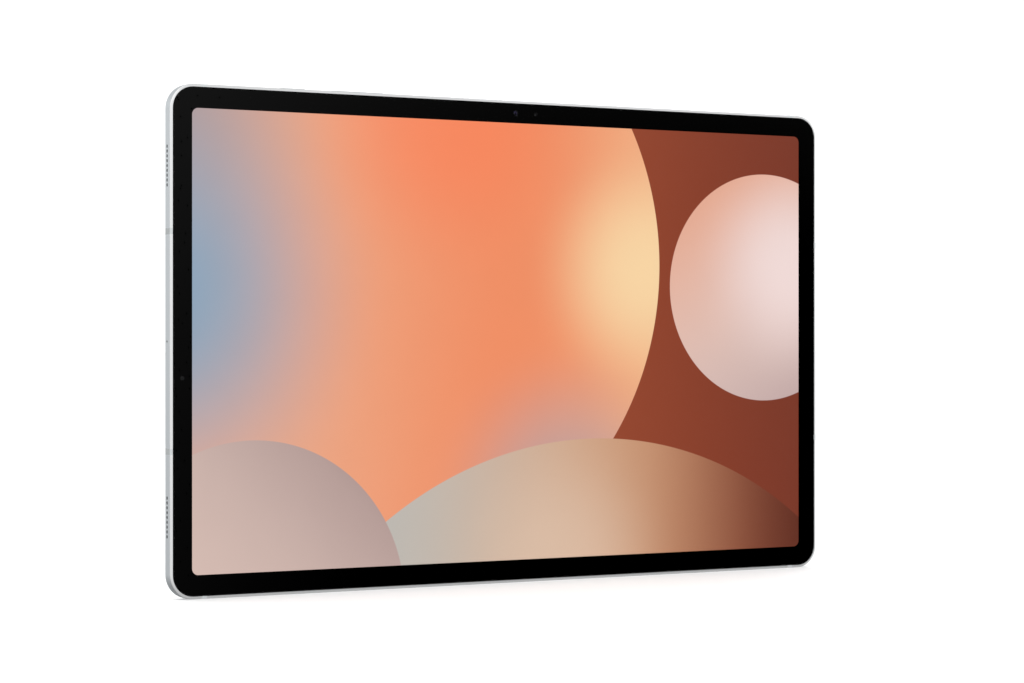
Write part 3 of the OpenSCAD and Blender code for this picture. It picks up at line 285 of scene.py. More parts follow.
def merged_copy(node, name, material, rounded=None, radius=0.0, steps=2, body="chassis"):
    """A joined-up copy that stands for a CAD node, with the edges that rounded() picks rounded off."""
    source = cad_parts[node]
    shape = bmesh.new()
    shape.from_mesh(source.data)
    bmesh.ops.remove_doubles(shape, verts=shape.verts, dist=0.002 * MM)
    bmesh.ops.dissolve_limit(
        shape, angle_limit=math.radians(0.4), verts=shape.verts, edges=shape.edges,
        use_dissolve_boundaries=False,
    )
    if rounded:
        picked = [e for e in shape.edges if len(e.link_faces) == 2 and rounded(e)]
        bmesh.ops.bevel(
            shape, geom=picked, offset=radius, offset_type="OFFSET", segments=steps, profile=0.5,
            affect="EDGES", clamp_overlap=True,
        )
    for edge in shape.edges:
        edge.smooth = len(edge.link_faces) == 2 and edge.calc_face_angle(0) < crease
    for face in shape.faces:
        face.smooth = True
    mesh = bpy.data.meshes.new(name)
    shape.to_mesh(mesh)
    shape.free()
    mesh.materials.append(material)
    made = new_object(name, mesh)
    # A flat face keeps its own normal right up to a rounded edge, so it reads as flat
    even = made.modifiers.new("even_shading", "WEIGHTED_NORMAL")
    even.weight = 100
    even.keep_sharp = True
    bpy.context.view_layer.update()
    seen = made.evaluated_get(bpy.context.evaluated_depsgraph_get())
    shaded_mesh = bpy.data.meshes.new_from_object(seen)
    made.modifiers.remove(even)
    made.data = shaded_mesh
    bpy.data.meshes.remove(mesh)
    shaded_mesh.name = name
    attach(made, body)
    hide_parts(node)
    return made


lip_start = -2.34 * MM
lip_blend = 0.05 * MM


def lip_share(tree):
    """1 on the bright lip in front of the rim's side, and 0 behind it."""
    place = add_node(tree, "ShaderNodeTexCoord")
    depth = add_node(tree, "ShaderNodeSeparateXYZ", links={0: place.outputs["Object"]})
    share = add_node(
        tree, "ShaderNodeMapRange", {"From Min": lip_start, "From Max": lip_start - lip_blend},
        {"Value": depth.outputs["Y"]},
    )
    return share.outputs[0]


# Bead-blasted, anodised aluminium: a fine even satin. The beads leave dimples under 0.1 mm, drawn
# here at 0.16 mm. The diamond-cut lip in front of the side is smoother and reads brighter.
silver = grained(
    "beadblasted_anodised_aluminium", "#CBD1D5", "#D3D8DB", 0.16 * MM, (0.36, 0.42), bump=0.05, Metallic=1.0
)
tree = silver.node_tree
shader = tree.nodes["Principled BSDF"]
satin = shader.inputs["Roughness"].links[0].from_socket
blasted = shader.inputs["Base Color"].links[0].from_socket
lip = lip_share(tree)
lip_roughness = 0.22
cut = add_node(
    tree, "ShaderNodeMix", {"data_type": "FLOAT", "B": lip_roughness}, {"Factor": lip, "A": satin}
)
bright = add_node(
    tree, "ShaderNodeMix", {"data_type": "RGBA", 7: hex_colour("#F1F2F3")}, {0: lip, 6: blasted}
)
tree.links.new(cut.outputs[0], shader.inputs["Roughness"])
tree.links.new(bright.outputs[2], shader.inputs["Base Color"])

# Painted shade: the inside of the housing, with the walls of its slots and holes, is coloured near black
# for the shade in there, so that no metal glints round the glass or through the sound holes.
inner_painted_shade = grained("inner_aluminium_painted_shade", "#0C0C0D", "#131314", 0.4 * MM, (0.6, 0.75), bump=0.1)

housing_low, housing_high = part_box("back_housing")
face_limit = 0.02 * MM


def is_mouth(edge):
    """True for the sharp edges round the holes in the rim's flat sides."""
    if edge.calc_face_angle(0) < math.radians(40):
        return False
    for axis, low, high in ((0, housing_low.x, housing_high.x), (2, housing_low.z, housing_high.z)):
        if all(abs(v.co[axis] - low) < face_limit or abs(v.co[axis] - high) < face_limit for v in edge.verts):
            return all(abs(v.co.y) < 2.0 * MM for v in edge.verts)
    return False


mouth_radius = 0.04 * MM
housing = merged_copy(
    "back_housing", "machined_housing", silver, is_mouth, mouth_radius
)
housing.data.materials.append(inner_painted_shade)
corner_radius = 9 * MM
lip_width = 1.0 * MM
skin_depth = 1.3 * MM                       # the rounded rear edge lies within this of the outline
rear_edge_start = 1.4 * MM                  # and this far or more behind the middle of the side
back_skin = 0.05 * MM
outward_lean = 0.3                          # an outer face points outwards by at least this share
box_middle = (housing_low + housing_high) / 2
straight = Vector(
    (housing_high.x - box_middle.x - corner_radius, 0, housing_high.z - box_middle.z - corner_radius)
)
# Faces on the outside keep the satin metal; all others take the near-black painted shade
for face in housing.data.polygons:
    spot = face.center - box_middle
    past_corner = Vector((max(abs(spot.x) - straight.x, 0), 0, max(abs(spot.z) - straight.z, 0)))
    outward = past_corner.normalized()
    outward = Vector((math.copysign(outward.x, spot.x), 0, math.copysign(outward.z, spot.z)))
    inset = corner_radius - past_corner.length
    on_rear_edge = inset < skin_depth and face.center.y > rear_edge_start
    on_side = inset < skin_depth and face.normal.dot(outward) > outward_lean
    on_lip = (
        inset < lip_width and face.normal.y < -outward_lean and face.center.y < lip_start + 0.2 * MM
    )
    on_back = face.normal.y > outward_lean and (
        face.center.y > housing_high.y - back_skin or on_rear_edge
    )
    face.material_index = 0 if on_side or on_lip or on_back else 1


# ---- Antenna bands ----
# Eight plugs of glass-filled plastic, moulded into cuts through the rim so that radio waves get
# out, then machined flush with the metal.
# The moulded plastic is a shade darker than the metal and has no metallic gloss.
band_plastic = grained("moulded_band_plastic", "#8C9091", "#969A9B", 0.4 * MM, (0.42, 0.5), bump=0.05)
tree = band_plastic.node_tree
shader = tree.nodes["Principled BSDF"]
moulded = shader.inputs["Base Color"].links[0].from_socket
# Painted light: the plastic is painted paler on the lip, for the light that the lip catches as it faces the
# lamps
lip_painted_light = add_node(
    tree, "ShaderNodeMix", {"data_type": "RGBA", 7: hex_colour("#B5B9BA")},
    {0: lip_share(tree), 6: moulded},
)
tree.links.new(lip_painted_light.outputs[2], shader.inputs["Base Color"])
paint(band_plastic, "antenna_bands")


# ---- Battery ----
# Two flat pouch cells of laminated film, glued to the back wall, with their protection board
# across their heads.
# The pouch film is aluminium laminate under black nylon, embossed with a slight wrinkle.
pouch = grained("embossed_pouch_film", "#1B1C1F", "#2B2C30", 3.0 * MM, (0.35, 0.55), bump=0.25)
paint(pouch, "battery_cell_left", "battery_cell_right")


# ---- Circuit boards ----
# Glass-fibre boards under green solder mask, screwed to bosses on the back wall: the main board,
# the port board and the battery's own board.
# Under the mask the copper shows as paler tracks about 0.4 mm wide, in blocks that turn corners.
track_block = 9 * MM
solder_mask, tree, shader = new_material("green_solder_mask", Roughness=0.35)
place = add_node(tree, "ShaderNodeTexCoord")
tracks = add_node(
    tree, "ShaderNodeTexBrick",
    {
        "offset": 0.5, "squash": 0.6, "squash_frequency": 3,
        "Color1": hex_colour("#0E3B24"), "Color2": hex_colour("#114629"), "Mortar": hex_colour("#2C6B42"),
        "Scale": 1 / track_block, "Mortar Size": 0.05, "Mortar Smooth": 0.2,
        "Brick Width": 0.8, "Row Height": 0.2,
    },
)
stand_up = add_node(
    tree, "ShaderNodeMapping", {"Rotation": (math.radians(90), 0, 0)}, {"Vector": place.outputs["Object"]}
)
tree.links.new(stand_up.outputs[0], tracks.inputs["Vector"])
tree.links.new(tracks.outputs["Color"], shader.inputs["Base Color"])
paint(solder_mask, "main_board", "port_board", "battery_board")

# Chips are moulded from black epoxy with a fine frosted face.
epoxy = grained("frosted_epoxy", "#161617", "#222223", 0.3 * MM, (0.55, 0.7), bump=0.1)
paint(epoxy, "board_chips")

# Tinned sheet steel: pale and soft in its shine, with a fine grain in the direction of rolling.
tinned = grained(
    "tinned_sheet_steel", "#B4B5B8", "#C6C7C9", 0.5 * MM, (0.25, 0.4), bump=0.05, stretch=(0.1, 1, 1),
    Metallic=1.0,
)
paint(tinned, "shield_cans")

# Bare copper that has dulled a little: patches of deeper and lighter red-brown.
copper = grained("dulled_copper", "#B06A45", "#C98560", 1.2 * MM, (0.3, 0.5), Metallic=1.0)
paint(copper, "vapour_chamber")


# ---- Flexible circuits ----
# Thin copper tracks between two amber polyimide films: from the display, the keys, the front
# camera and the port to the main board.
# The tracks are 0.5 mm apart and show through the amber film as fine darker lines.
track_pitch = 0.5 * MM
wave_turn = 6.3                             # the texture's bands are a full turn apart at a scale of 1
polyimide, tree, shader = new_material("amber_polyimide", Roughness=0.4)
place = add_node(tree, "ShaderNodeTexCoord")
lines = add_node(
    tree, "ShaderNodeTexWave",
    {"bands_direction": "X", "Scale": 1 / (track_pitch * wave_turn), "Distortion": 0.0},
    {"Vector": place.outputs["Object"]},
)
amber = add_node(
    tree, "ShaderNodeMix", {"data_type": "RGBA", 6: hex_colour("#9A5A1A"), 7: hex_colour("#C98A3A")},
    {0: lines.outputs["Fac"]},
)
tree.links.new(amber.outputs[2], shader.inputs["Base Color"])
paint(polyimide, "display_flex", "interconnect_flex", "key_flex", "front_camera_flex")


# ---- Port ----
# A socket for the charging plug in the right side: a drawn steel shell around a black tongue that
# carries twelve gold-plated contacts on each face.
# Black resin, moulded with a fine matt grain.
black_resin = grained("moulded_black_resin", "#121213", "#1A1A1B", 0.25 * MM, (0.45, 0.6), bump=0.1)
paint(tinned, "port_shell")
paint(black_resin, "port_tongue")

# Gold plate over nickel: warm, with a soft satin shine.
gold = grained("plated_gold", "#D9B160", "#E8C67C", 0.6 * MM, (0.2, 0.32), Metallic=1.0)


def group_tree(name, **inputs):
    """An empty Geometry Nodes tree with one number input for each name."""
    group = bpy.data.node_groups.new(name, "GeometryNodeTree")
    group.interface.new_socket("Geometry", in_out="OUTPUT", socket_type="NodeSocketGeometry")
    for label, value in inputs.items():
        kind = "NodeSocketInt" if isinstance(value, int) else "NodeSocketFloat"
        group.interface.new_socket(label, in_out="INPUT", socket_type=kind)
    return group


def grown(group, name, material, **values):
    """Runs a Geometry Nodes tree on an empty mesh and returns the result as a plain mesh."""
    holder = new_object(name, bpy.data.meshes.new(name))
    run = holder.modifiers.new("grow", "NODES")
    run.node_group = group
    for item in group.interface.items_tree:
        if item.in_out == "INPUT":
            run[item.identifier] = values[item.name]
    bpy.context.view_layer.update()
    seen = holder.evaluated_get(bpy.context.evaluated_depsgraph_get())
    mesh = bpy.data.meshes.new_from_object(seen)
    holder.modifiers.remove(run)
    bpy.data.objects.remove(holder)
    if not mesh.materials:
        mesh.materials.append(material)
    return mesh


def placed(name, parts, body, material, replaces=()):
    """One piece made of meshes, each put in its place by a matrix."""
    shape = bmesh.new()
    for mesh, matrix in parts:
        part = bmesh.new()
        part.from_mesh(mesh)
        bmesh.ops.transform(part, matrix=matrix, verts=part.verts)
        if matrix.determinant() < 0:
            bmesh.ops.reverse_faces(part, faces=part.faces)
        moved = bpy.data.meshes.new(name)
        part.to_mesh(moved)
        part.free()
        shape.from_mesh(moved)
        bpy.data.meshes.remove(moved)
    mesh = bpy.data.meshes.new(name)
    shape.to_mesh(mesh)
    shape.free()
    mesh.materials.clear()
    mesh.materials.append(material)
    made = new_object(name, mesh)
    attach(made, body)
    if replaces:
        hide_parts(*replaces)
    return made


contact_row = group_tree("contact_row", count=1, pitch=1.0, width=1.0, length=1.0, height=1.0)
entry = contact_row.nodes.new("NodeGroupInput")
spacing = add_node(contact_row, "ShaderNodeCombineXYZ", links={"Z": entry.outputs["pitch"]})
places = add_node(
    contact_row, "GeometryNodeMeshLine", links={"Count": entry.outputs["count"], "Offset": spacing.outputs[0]}
)
blade_size = add_node(
    contact_row, "ShaderNodeCombineXYZ",
    links={"X": entry.outputs["length"], "Y": entry.outputs["height"], "Z": entry.outputs["width"]},
)
blade = add_node(contact_row, "GeometryNodeMeshCube", links={"Size": blade_size.outputs[0]})
row = add_node(
    contact_row, "GeometryNodeInstanceOnPoints",
    links={"Points": places.outputs[0], "Instance": blade.outputs["Mesh"]},
)
solid = add_node(contact_row, "GeometryNodeRealizeInstances", links={"Geometry": row.outputs[0]})
finish = add_node(contact_row, "GeometryNodeSetMaterial", {"Material": gold}, {"Geometry": solid.outputs[0]})
add_node(contact_row, "NodeGroupOutput", links={"Geometry": finish.outputs[0]})

contact_count = 12
contact_pitch = 0.5 * MM
contact_length = 3.4 * MM
contact_height = 0.06 * MM
contacts = grown(
    contact_row, "contact_row", gold, count=contact_count, pitch=contact_pitch, width=0.26 * MM,
    length=contact_length, height=contact_height,
)
_, tongue_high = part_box("port_tongue")
shell_low, shell_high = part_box("port_shell")
tongue_half = 0.35 * MM
port_middle = (shell_low + shell_high) / 2
contact_x = tongue_high.x - 0.4 * MM - contact_length / 2
contact_z = port_middle.z - (contact_count - 1) / 2 * contact_pitch
placed(
    "port_contacts",
    [
        (contacts, Matrix.Translation((contact_x, port_middle.y + side * tongue_half, contact_z)))
        for side in (-1, 1)
    ],
    "chassis", gold,
)


# ---- Keys ----
# Two caps milled from the same aluminium as the housing, which stand 0.3 mm proud of the top edge.
# Each has a flange that holds it in and a stem that presses a switch dome.
def is_cap_edge(node):
    """Picks the edges round the outer face of a key or of the tray."""
    low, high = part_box(node)
    steep = math.radians(50)
    return lambda edge: edge.calc_face_angle(0) > steep and all(
        abs(v.co.z - high.z) < face_limit for v in edge.verts
    )


cap_radius = 0.16 * MM
for node in ("power_key", "volume_key"):
    merged_copy(
        node, node + "_cap", silver, is_cap_edge(node), cap_radius, steps=3, body=node
    )

# Stamped stainless steel: darker than tin, with a satin grain along its length.
stainless = grained(
    "stamped_stainless_steel", "#9A9B9D", "#ADAEB0", 0.4 * MM, (0.28, 0.4), bump=0.05, stretch=(1, 1, 0.1),
    Metallic=1.0,
)
paint(stainless, "key_bracket")

# Each dome is a shallow cap of sprung sheet steel, which flattens under its key's stem; here drawn at rest
for node, joint, pressed_share in (
    ("power_dome", "power_key_press", 0.14), ("volume_domes", "volume_key_rock", 0.1)
):
    low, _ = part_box(node)
    spring = merged_copy(node, node + "_spring", tinned)
    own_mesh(spring)


# ---- Card tray ----
# A carrier for two cards, milled from aluminium with a face that closes the slot flush with the
# top edge. The small hole in the face lets a pin reach the eject rod.
face_radius = 0.07 * MM
merged_copy(
    "card_tray", "milled_card_tray", silver, is_cap_edge("card_tray"), face_radius,
    body="card_tray",
)

# The socket is tinned sheet steel, and what pushes the tray out is stamped from stainless steel
paint(tinned, "tray_socket")
paint(stainless, "eject_rod", "eject_lever", "eject_slider", "lever_pin")


# ---- Speakers ----
# Four black boxes in the corners, each with a magnet, a rubber-edged cone and an outlet behind
# nine slots. A woven steel mesh behind the slots keeps dust out.
paint(black_resin, "speaker_top_left", "speaker_bottom_left", "speaker_top_right", "speaker_bottom_right")
# Rubber and pressed paper, both dull and nearly black.
rubber = grained("cone_rubber", "#202022", "#2B2B2D", 0.5 * MM, (0.6, 0.75), bump=0.1)
paint(rubber, "speaker_diaphragms")
# Nickel plate on magnets: bright, a little uneven, and barely yellow.
nickel = grained("nickel_plate", "#A5A6A8", "#BDBEC0", 0.8 * MM, (0.18, 0.3), Metallic=1.0)
paint(nickel, "speaker_magnets")
paint(tinned, "microphone")

# Oxide-blackened steel wire: near black and dull.
wire_black = grained("blackened_wire", "#050505", "#0A0A0B", 0.2 * MM, (0.7, 0.8), bump=0.05)

weave = group_tree("weave", pitch=1.0, wire=1.0, columns=1, rows=1)
entry = weave.nodes.new("NodeGroupInput")
wire_lift = 0.55                            # share of a wire's thickness that it rises at a crossing


def woven_wires(run, step, count, across, sign):
    """Wires that run along one axis and wave over and under those that cross them."""
    span = add_node(
        weave, "ShaderNodeMath", {"operation": "MULTIPLY"},
        {0: entry.outputs[across], 1: entry.outputs["pitch"]},
    )
    half = add_node(weave, "ShaderNodeMath", {"operation": "MULTIPLY", 1: -0.5}, {0: entry.outputs["pitch"]})
    end = add_node(weave, "ShaderNodeMath", {"operation": "ADD"}, {0: span.outputs[0], 1: half.outputs[0]})
    start_point = add_node(weave, "ShaderNodeCombineXYZ", links={run: half.outputs[0]})
    end_point = add_node(weave, "ShaderNodeCombineXYZ", links={run: end.outputs[0]})
    line = add_node(
        weave, "GeometryNodeCurvePrimitiveLine",
        links={"Start": start_point.outputs[0], "End": end_point.outputs[0]},
    )
    points = add_node(
        weave, "ShaderNodeMath", {"operation": "MULTIPLY_ADD", 1: 2.0, 2: 1.0}, {0: entry.outputs[across]}
    )
    fine = add_node(
        weave, "GeometryNodeResampleCurve", links={"Curve": line.outputs[0], "Count": points.outputs[0]}
    )
    where = add_node(weave, "GeometryNodeInputPosition")
    along = add_node(weave, "ShaderNodeSeparateXYZ", links={0: where.outputs[0]})
    turns = add_node(
        weave, "ShaderNodeMath", {"operation": "DIVIDE"}, {0: along.outputs[run], 1: entry.outputs["pitch"]}
    )
    angle = add_node(weave, "ShaderNodeMath", {"operation": "MULTIPLY", 1: math.pi}, {0: turns.outputs[0]})
    wave = add_node(weave, "ShaderNodeMath", {"operation": "COSINE"}, {0: angle.outputs[0]})
    height = add_node(
        weave, "ShaderNodeMath", {"operation": "MULTIPLY", 1: sign * wire_lift}, {0: entry.outputs["wire"]}
    )
    lift = add_node(
        weave, "ShaderNodeMath", {"operation": "MULTIPLY"}, {0: wave.outputs[0], 1: height.outputs[0]}
    )
    offset = add_node(weave, "ShaderNodeCombineXYZ", links={"Y": lift.outputs[0]})
    waved = add_node(
        weave, "GeometryNodeSetPosition", links={"Geometry": fine.outputs[0], "Offset": offset.outputs[0]}
    )
    radius = add_node(weave, "ShaderNodeMath", {"operation": "MULTIPLY", 1: 0.5}, {0: entry.outputs["wire"]})
    section = add_node(
        weave, "GeometryNodeCurvePrimitiveCircle", {"Resolution": 6}, {"Radius": radius.outputs[0]}
    )
    wire = add_node(
        weave, "GeometryNodeCurveToMesh", {"Fill Caps": True},
        {"Curve": waved.outputs[0], "Profile Curve": section.outputs[0]},
    )
    apart = add_node(weave, "ShaderNodeCombineXYZ", links={step: entry.outputs["pitch"]})
    places = add_node(
        weave, "GeometryNodeMeshLine", links={"Count": entry.outputs[count], "Offset": apart.outputs[0]}
    )
    number = add_node(weave, "GeometryNodeInputIndex")
    odd = add_node(weave, "ShaderNodeMath", {"operation": "MODULO", 1: 2.0}, {0: number.outputs[0]})
    half_turn = add_node(weave, "ShaderNodeMath", {"operation": "MULTIPLY", 1: math.pi}, {0: odd.outputs[0]})
    turned_over = add_node(weave, "ShaderNodeCombineXYZ", links={run: half_turn.outputs[0]})
    return add_node(
        weave, "GeometryNodeInstanceOnPoints",
        links={"Points": places.outputs[0], "Instance": wire.outputs[0], "Rotation": turned_over.outputs[0]},
    )


warp = woven_wires("Z", "X", "columns", "rows", 1)
weft = woven_wires("X", "Z", "rows", "columns", -1)
cloth = add_node(weave, "GeometryNodeJoinGeometry")
weave.links.new(warp.outputs[0], cloth.inputs[0])
weave.links.new(weft.outputs[0], cloth.inputs[0])
solid = add_node(weave, "GeometryNodeRealizeInstances", links={"Geometry": cloth.outputs[0]})
finish = add_node(weave, "GeometryNodeSetMaterial", {"Material": wire_black}, {"Geometry": solid.outputs[0]})
add_node(weave, "NodeGroupOutput", links={"Geometry": finish.outputs[0]})

mesh_low, mesh_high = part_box("speaker_meshes")
speaker_low, speaker_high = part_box("speaker_top_right")
mesh_pitch = 0.24 * MM
mesh_wire = 0.11 * MM
mesh_deep = mesh_high.y - mesh_low.y
mesh_long = 2 * (mesh_high.z - (speaker_low.z + speaker_high.z) / 2)
columns = int(mesh_long / mesh_pitch)
rows = int(mesh_deep / mesh_pitch)
sheet = grown(
    weave, "mesh_sheet", wire_black, pitch=mesh_pitch, wire=mesh_wire, columns=columns, rows=rows
)
sheet_middle = Vector(((columns - 1) * mesh_pitch / 2, 0, (rows - 1) * mesh_pitch / 2))
laid_across = Matrix(((0, 1, 0, 0), (0, 0, 1, 0), (1, 0, 0, 0), (0, 0, 0, 1)))
mesh_middle_y = (mesh_low.y + mesh_high.y) / 2
speaker_rise = (speaker_low.z + speaker_high.z) / 2 - box_middle.z
mesh_x = mesh_high.x - 0.15 * MM
placed(
    "speaker_dust_mesh",
    [
        (
            sheet,
            Matrix.Translation((side * mesh_x, mesh_middle_y, box_middle.z + up * speaker_rise))
            @ laid_across @ Matrix.Translation(-sheet_middle),
        )
        for side in (-1, 1) for up in (-1, 1)
    ],
    "chassis", wire_black, ("speaker_meshes",),
)


# ---- Rear cameras ----
# Two camera modules look out through bores in the back wall. Each has a blackened barrel, stepped
# inside against stray light, and a coated lens under a flat cover glass in a turned ring.
on_axis = 1e-7                              # a radius under this is a single point on the axis


def turned(name, centre, profile, material, sides=64):
    """A closed solid turned about an axis along Y, from (radius, y) points in order round its section."""
    corners = []
    rings = []
    for radius, y in profile:
        if radius < on_axis:
            rings.append([len(corners)])
            corners.append((centre[0], y, centre[1]))
            continue
        rings.append(list(range(len(corners), len(corners) + sides)))
        for i in range(sides):
            angle = 2 * math.pi * i / sides
            corners.append((centre[0] + radius * math.cos(angle), y, centre[1] + radius * math.sin(angle)))
    faces = []
    for a, b in zip(rings, rings[1:] + rings[:1]):
        if len(a) == 1 and len(b) == 1:
            continue
        for i in range(sides):
            j = (i + 1) % sides
            if len(a) == 1:
                faces.append((a[0], b[i], b[j]))
            elif len(b) == 1:
                faces.append((a[i], a[j], b[0]))
            else:
                faces.append((a[i], a[j], b[j], b[i]))
    made = mesh_piece(name, corners, faces, material)
    shape = bmesh.new()
    shape.from_mesh(made.data)
    bmesh.ops.recalc_face_normals(shape, faces=shape.faces)
    for edge in shape.edges:
        edge.smooth = edge.calc_face_angle(0) < crease
    for face in shape.faces:
        face.smooth = True
    shape.to_mesh(made.data)
    shape.free()
    return made


# Blackened barrel: matt black with fine turned rings that catch a little light.
barrel_black = grained(
    "blackened_barrel", "#060607", "#0C0C0D", 0.2 * MM, (0.5, 0.65), bump=0.1, Specular_IOR_Level=0.15
)
# Lens glass over a dark barrel: its coating reads blue-black straight on and violet towards the edge.
coated, tree, shader = new_material(
    "coated_lens_glass", Roughness=0.03, IOR=1.5, Specular_Tint=hex_colour("#8C74FF"),
    Coat_Weight=0.3, Coat_Roughness=0.02,
)
lens_facing = add_node(tree, "ShaderNodeLayerWeight", {"Blend": 0.35})
tint = add_node(
    tree, "ShaderNodeMix", {"data_type": "RGBA", 6: hex_colour("#10131F"), 7: hex_colour("#3A1F4E")},
    {0: lens_facing.outputs["Facing"]},
)
tree.links.new(tint.outputs[2], shader.inputs["Base Color"])

paint(barrel_black, "rear_camera_main", "rear_camera_wide")
glass_low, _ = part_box("camera_glasses")
baffle_radius = 4.2 * MM
baffle_step = 0.04 * MM
glass_gap = 0.02 * MM
lens_rise = 0.13 * MM
bulge = 8                                   # rings of faces on a lens
for node, pupil in (("rear_camera_main", 2.1 * MM), ("rear_camera_wide", 1.6 * MM)):
    low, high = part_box(node)
    centre = ((low.x + high.x) / 2, (low.z + high.z) / 2)
    seat = high.y
    top = glass_low.y - glass_gap
    first_step = baffle_radius - 0.35 * MM
    second_step = baffle_radius - 0.9 * MM
    baffle = turned(
        node + "_baffle", centre,
        [
            (baffle_radius, seat), (baffle_radius, top), (first_step, top), (first_step, top - baffle_step),
            (second_step, top - baffle_step), (second_step, top - 2 * baffle_step),
            (pupil + 0.3 * MM, top - 2 * baffle_step), (pupil + 0.2 * MM, seat),
        ],
        barrel_black,
    )
    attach(baffle, "chassis")
    lens_edge = pupil + 0.15 * MM
    dome = [(0.0, seat), (lens_edge, seat)] + [
        (
            lens_edge * math.cos(math.pi / 2 * k / bulge),
            seat + lens_rise * math.sin(math.pi / 2 * k / bulge),
        )
        for k in range(1, bulge)
    ] + [(0.0, seat + lens_rise)]
    lens = turned(node + "_lens", centre, dome, coated)
    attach(lens, "chassis")

# Polished cover glass: clear, with a faint grey tint, and coated so that it mirrors little.
clear, tree, shader = new_material("clear_lens_cover", Roughness=0.0, IOR=1.3, Transmission_Weight=1.0)
smear = add_node(tree, "ShaderNodeTexCoord")
haze = add_node(tree, "ShaderNodeTexNoise", {"Scale": 300.0}, {"Vector": smear.outputs["Object"]})
grey = add_node(
    tree, "ShaderNodeMix", {"data_type": "RGBA", 6: hex_colour("#E9EBEE"), 7: hex_colour("#F4F5F7")},
    {0: haze.outputs["Fac"]},
)
tree.links.new(grey.outputs[2], shader.inputs["Base Color"])
paint(clear, "camera_glasses")
# Turned aluminium: brighter and smoother than the blasted back.
ring_metal = grained(
    "turned_ring_aluminium", "#C9CBCD", "#D8DADC", 0.12 * MM, (0.2, 0.28), bump=0.06, Metallic=1.0
)
paint(ring_metal, "camera_rings")


# ---- Flash ----
# A small window of milky plastic beside the cameras, moulded with ring-shaped steps that spread
# the light of the LED behind it.
# Milky polycarbonate: warm white, smooth, and letting light a little way in.
milky = grained("milky_polycarbonate", "#B9B7AC", "#C6C4B9", 0.5 * MM, (0.12, 0.2), Subsurface_Weight=0.2)
# The LED's phosphor: a dull, even yellow.
phosphor = grained("phosphor_yellow", "#D9B83A", "#E8CC5C", 0.3 * MM, (0.5, 0.6))
paint(phosphor, "flash_led")
flash_low, flash_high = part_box("flash_window")
flash_radius = (flash_high.x - flash_low.x) / 2
step_count = 7
step_deep = 0.06 * MM
edge_width = 0.5 * MM
first_step = flash_radius - edge_width
step_width = first_step / step_count
step_slope = 0.95                           # each step starts this share of its width from its middle
profile = [
    (0.0, flash_low.y), (flash_radius, flash_low.y), (flash_radius, flash_high.y), (first_step, flash_high.y)
]
for k in range(step_count):
    inner = first_step - (k + 1) * step_width
    profile.append((inner + step_width * step_slope, flash_high.y - step_deep))
    profile.append((max(inner, 0.0), flash_high.y))
diffuser = turned(
    "flash_diffuser", ((flash_low.x + flash_high.x) / 2, (flash_low.z + flash_high.z) / 2), profile, milky
)
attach(diffuser, "chassis")
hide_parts("flash_window")


# ---- Pen strip ----
# A smooth strip let into the back, where the pen lies against magnets and charges over a coil.
# The strip is lacquered plastic in a deeper grey than the back, with a fine pearl in it.
strip_grey = grained("pearl_lacquer", "#8F9295", "#999C9F", 0.3 * MM, (0.28, 0.34), bump=0.03, Metallic=0.4)
paint(strip_grey, "pen_strip")
paint(copper, "pen_coil")
paint(nickel, "pen_magnets")


# ---- Keyboard contacts ----
# Three spring contacts, gold-plated, in an insulating insert near the bottom of the back. Magnets
# behind the rim hold the keyboard on.
# The insert is moulded plastic, close to the back's grey but without its sparkle.
insert_grey = grained("moulded_insert_plastic", "#94979A", "#9DA0A3", 0.3 * MM, (0.45, 0.55), bump=0.06)
paint(insert_grey, "contact_insert")
paint(gold, "contact_pads")
paint(nickel, "cover_magnets")


# ---- Cables and screws ----
# Coaxial cables in black jackets run from the main board to the antennas. Short screws with black
# plating hold the boards, the speakers and the key bracket.
# Extruded black jacket, slightly uneven, and black plate over steel with a low shine.
jacket = grained("cable_jacket", "#17171A", "#212124", 0.8 * MM, (0.5, 0.65), bump=0.08)
paint(jacket, "antenna_cables")
black_steel = grained("black_plated_steel", "#2A2A2C", "#3A3A3C", 0.3 * MM, (0.3, 0.45), Metallic=0.9)
paint(black_steel, "board_screws", "speaker_screws")


# ---- Display ----
# A lit panel of coloured light points, glued behind the glass, with the pen's sensing layer and a
# graphite sheet on its back. It shows a quiet picture of overlapping discs in warm colours.
# Amber sensing film, flaky rolled graphite with a grey sheen, and open black foam that is fully matt.
film = grained("digitizer_film", "#7A5A2C", "#8A6835", 1.5 * MM, (0.4, 0.5))
paint(film, "pen_digitizer")
graphite = grained("rolled_graphite", "#3A3A3D", "#47474A", 1.0 * MM, (0.35, 0.5), Metallic=0.3)
paint(graphite, "graphite_sheet")
foam = grained("black_foam_tape", "#141414", "#1E1E1E", 0.3 * MM, (0.8, 0.9), bump=0.2)
paint(foam, "display_gasket")

panel_low, panel_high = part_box("display_panel")
panel_middle = (panel_low + panel_high) / 2
# The light points read as one smooth picture, so only their glow is drawn.
lit, tree, shader = new_material(
    "lit_display_panel", Roughness=0.3, Specular_IOR_Level=0.0, Emission_Strength=1.07
)
shader.inputs["Base Color"].default_value = hex_colour("#060606")
place = add_node(tree, "ShaderNodeTexCoord")
centred = add_node(
    tree, "ShaderNodeMapping", {"Location": (-panel_middle.x, 0, -panel_middle.z), "Scale": (1, 0, 1)},
    {"Vector": place.outputs["Object"]},
)


def shaded(direction, start, end, stops):
    """A colour ramp that runs across the picture along a direction, from start to end in metres."""
    along = add_node(
        tree, "ShaderNodeVectorMath", {"operation": "DOT_PRODUCT", 1: direction}, {0: centred.outputs[0]}
    )
    share = add_node(
        tree, "ShaderNodeMapRange", {"From Min": start, "From Max": end}, {"Value": along.outputs["Value"]}
    )
    ramp = add_node(tree, "ShaderNodeValToRGB", links={0: share.outputs[0]})
    ramp.color_ramp.interpolation = "B_SPLINE"
    points = ramp.color_ramp.elements
    points[0].position, points[0].color = stops[0][0], hex_colour(stops[0][1])
    points[1].position, points[1].color = stops[-1][0], hex_colour(stops[-1][1])
    for position, text in stops[1:-1]:
        points.new(position).color = hex_colour(text)
    return ramp.outputs["Color"]


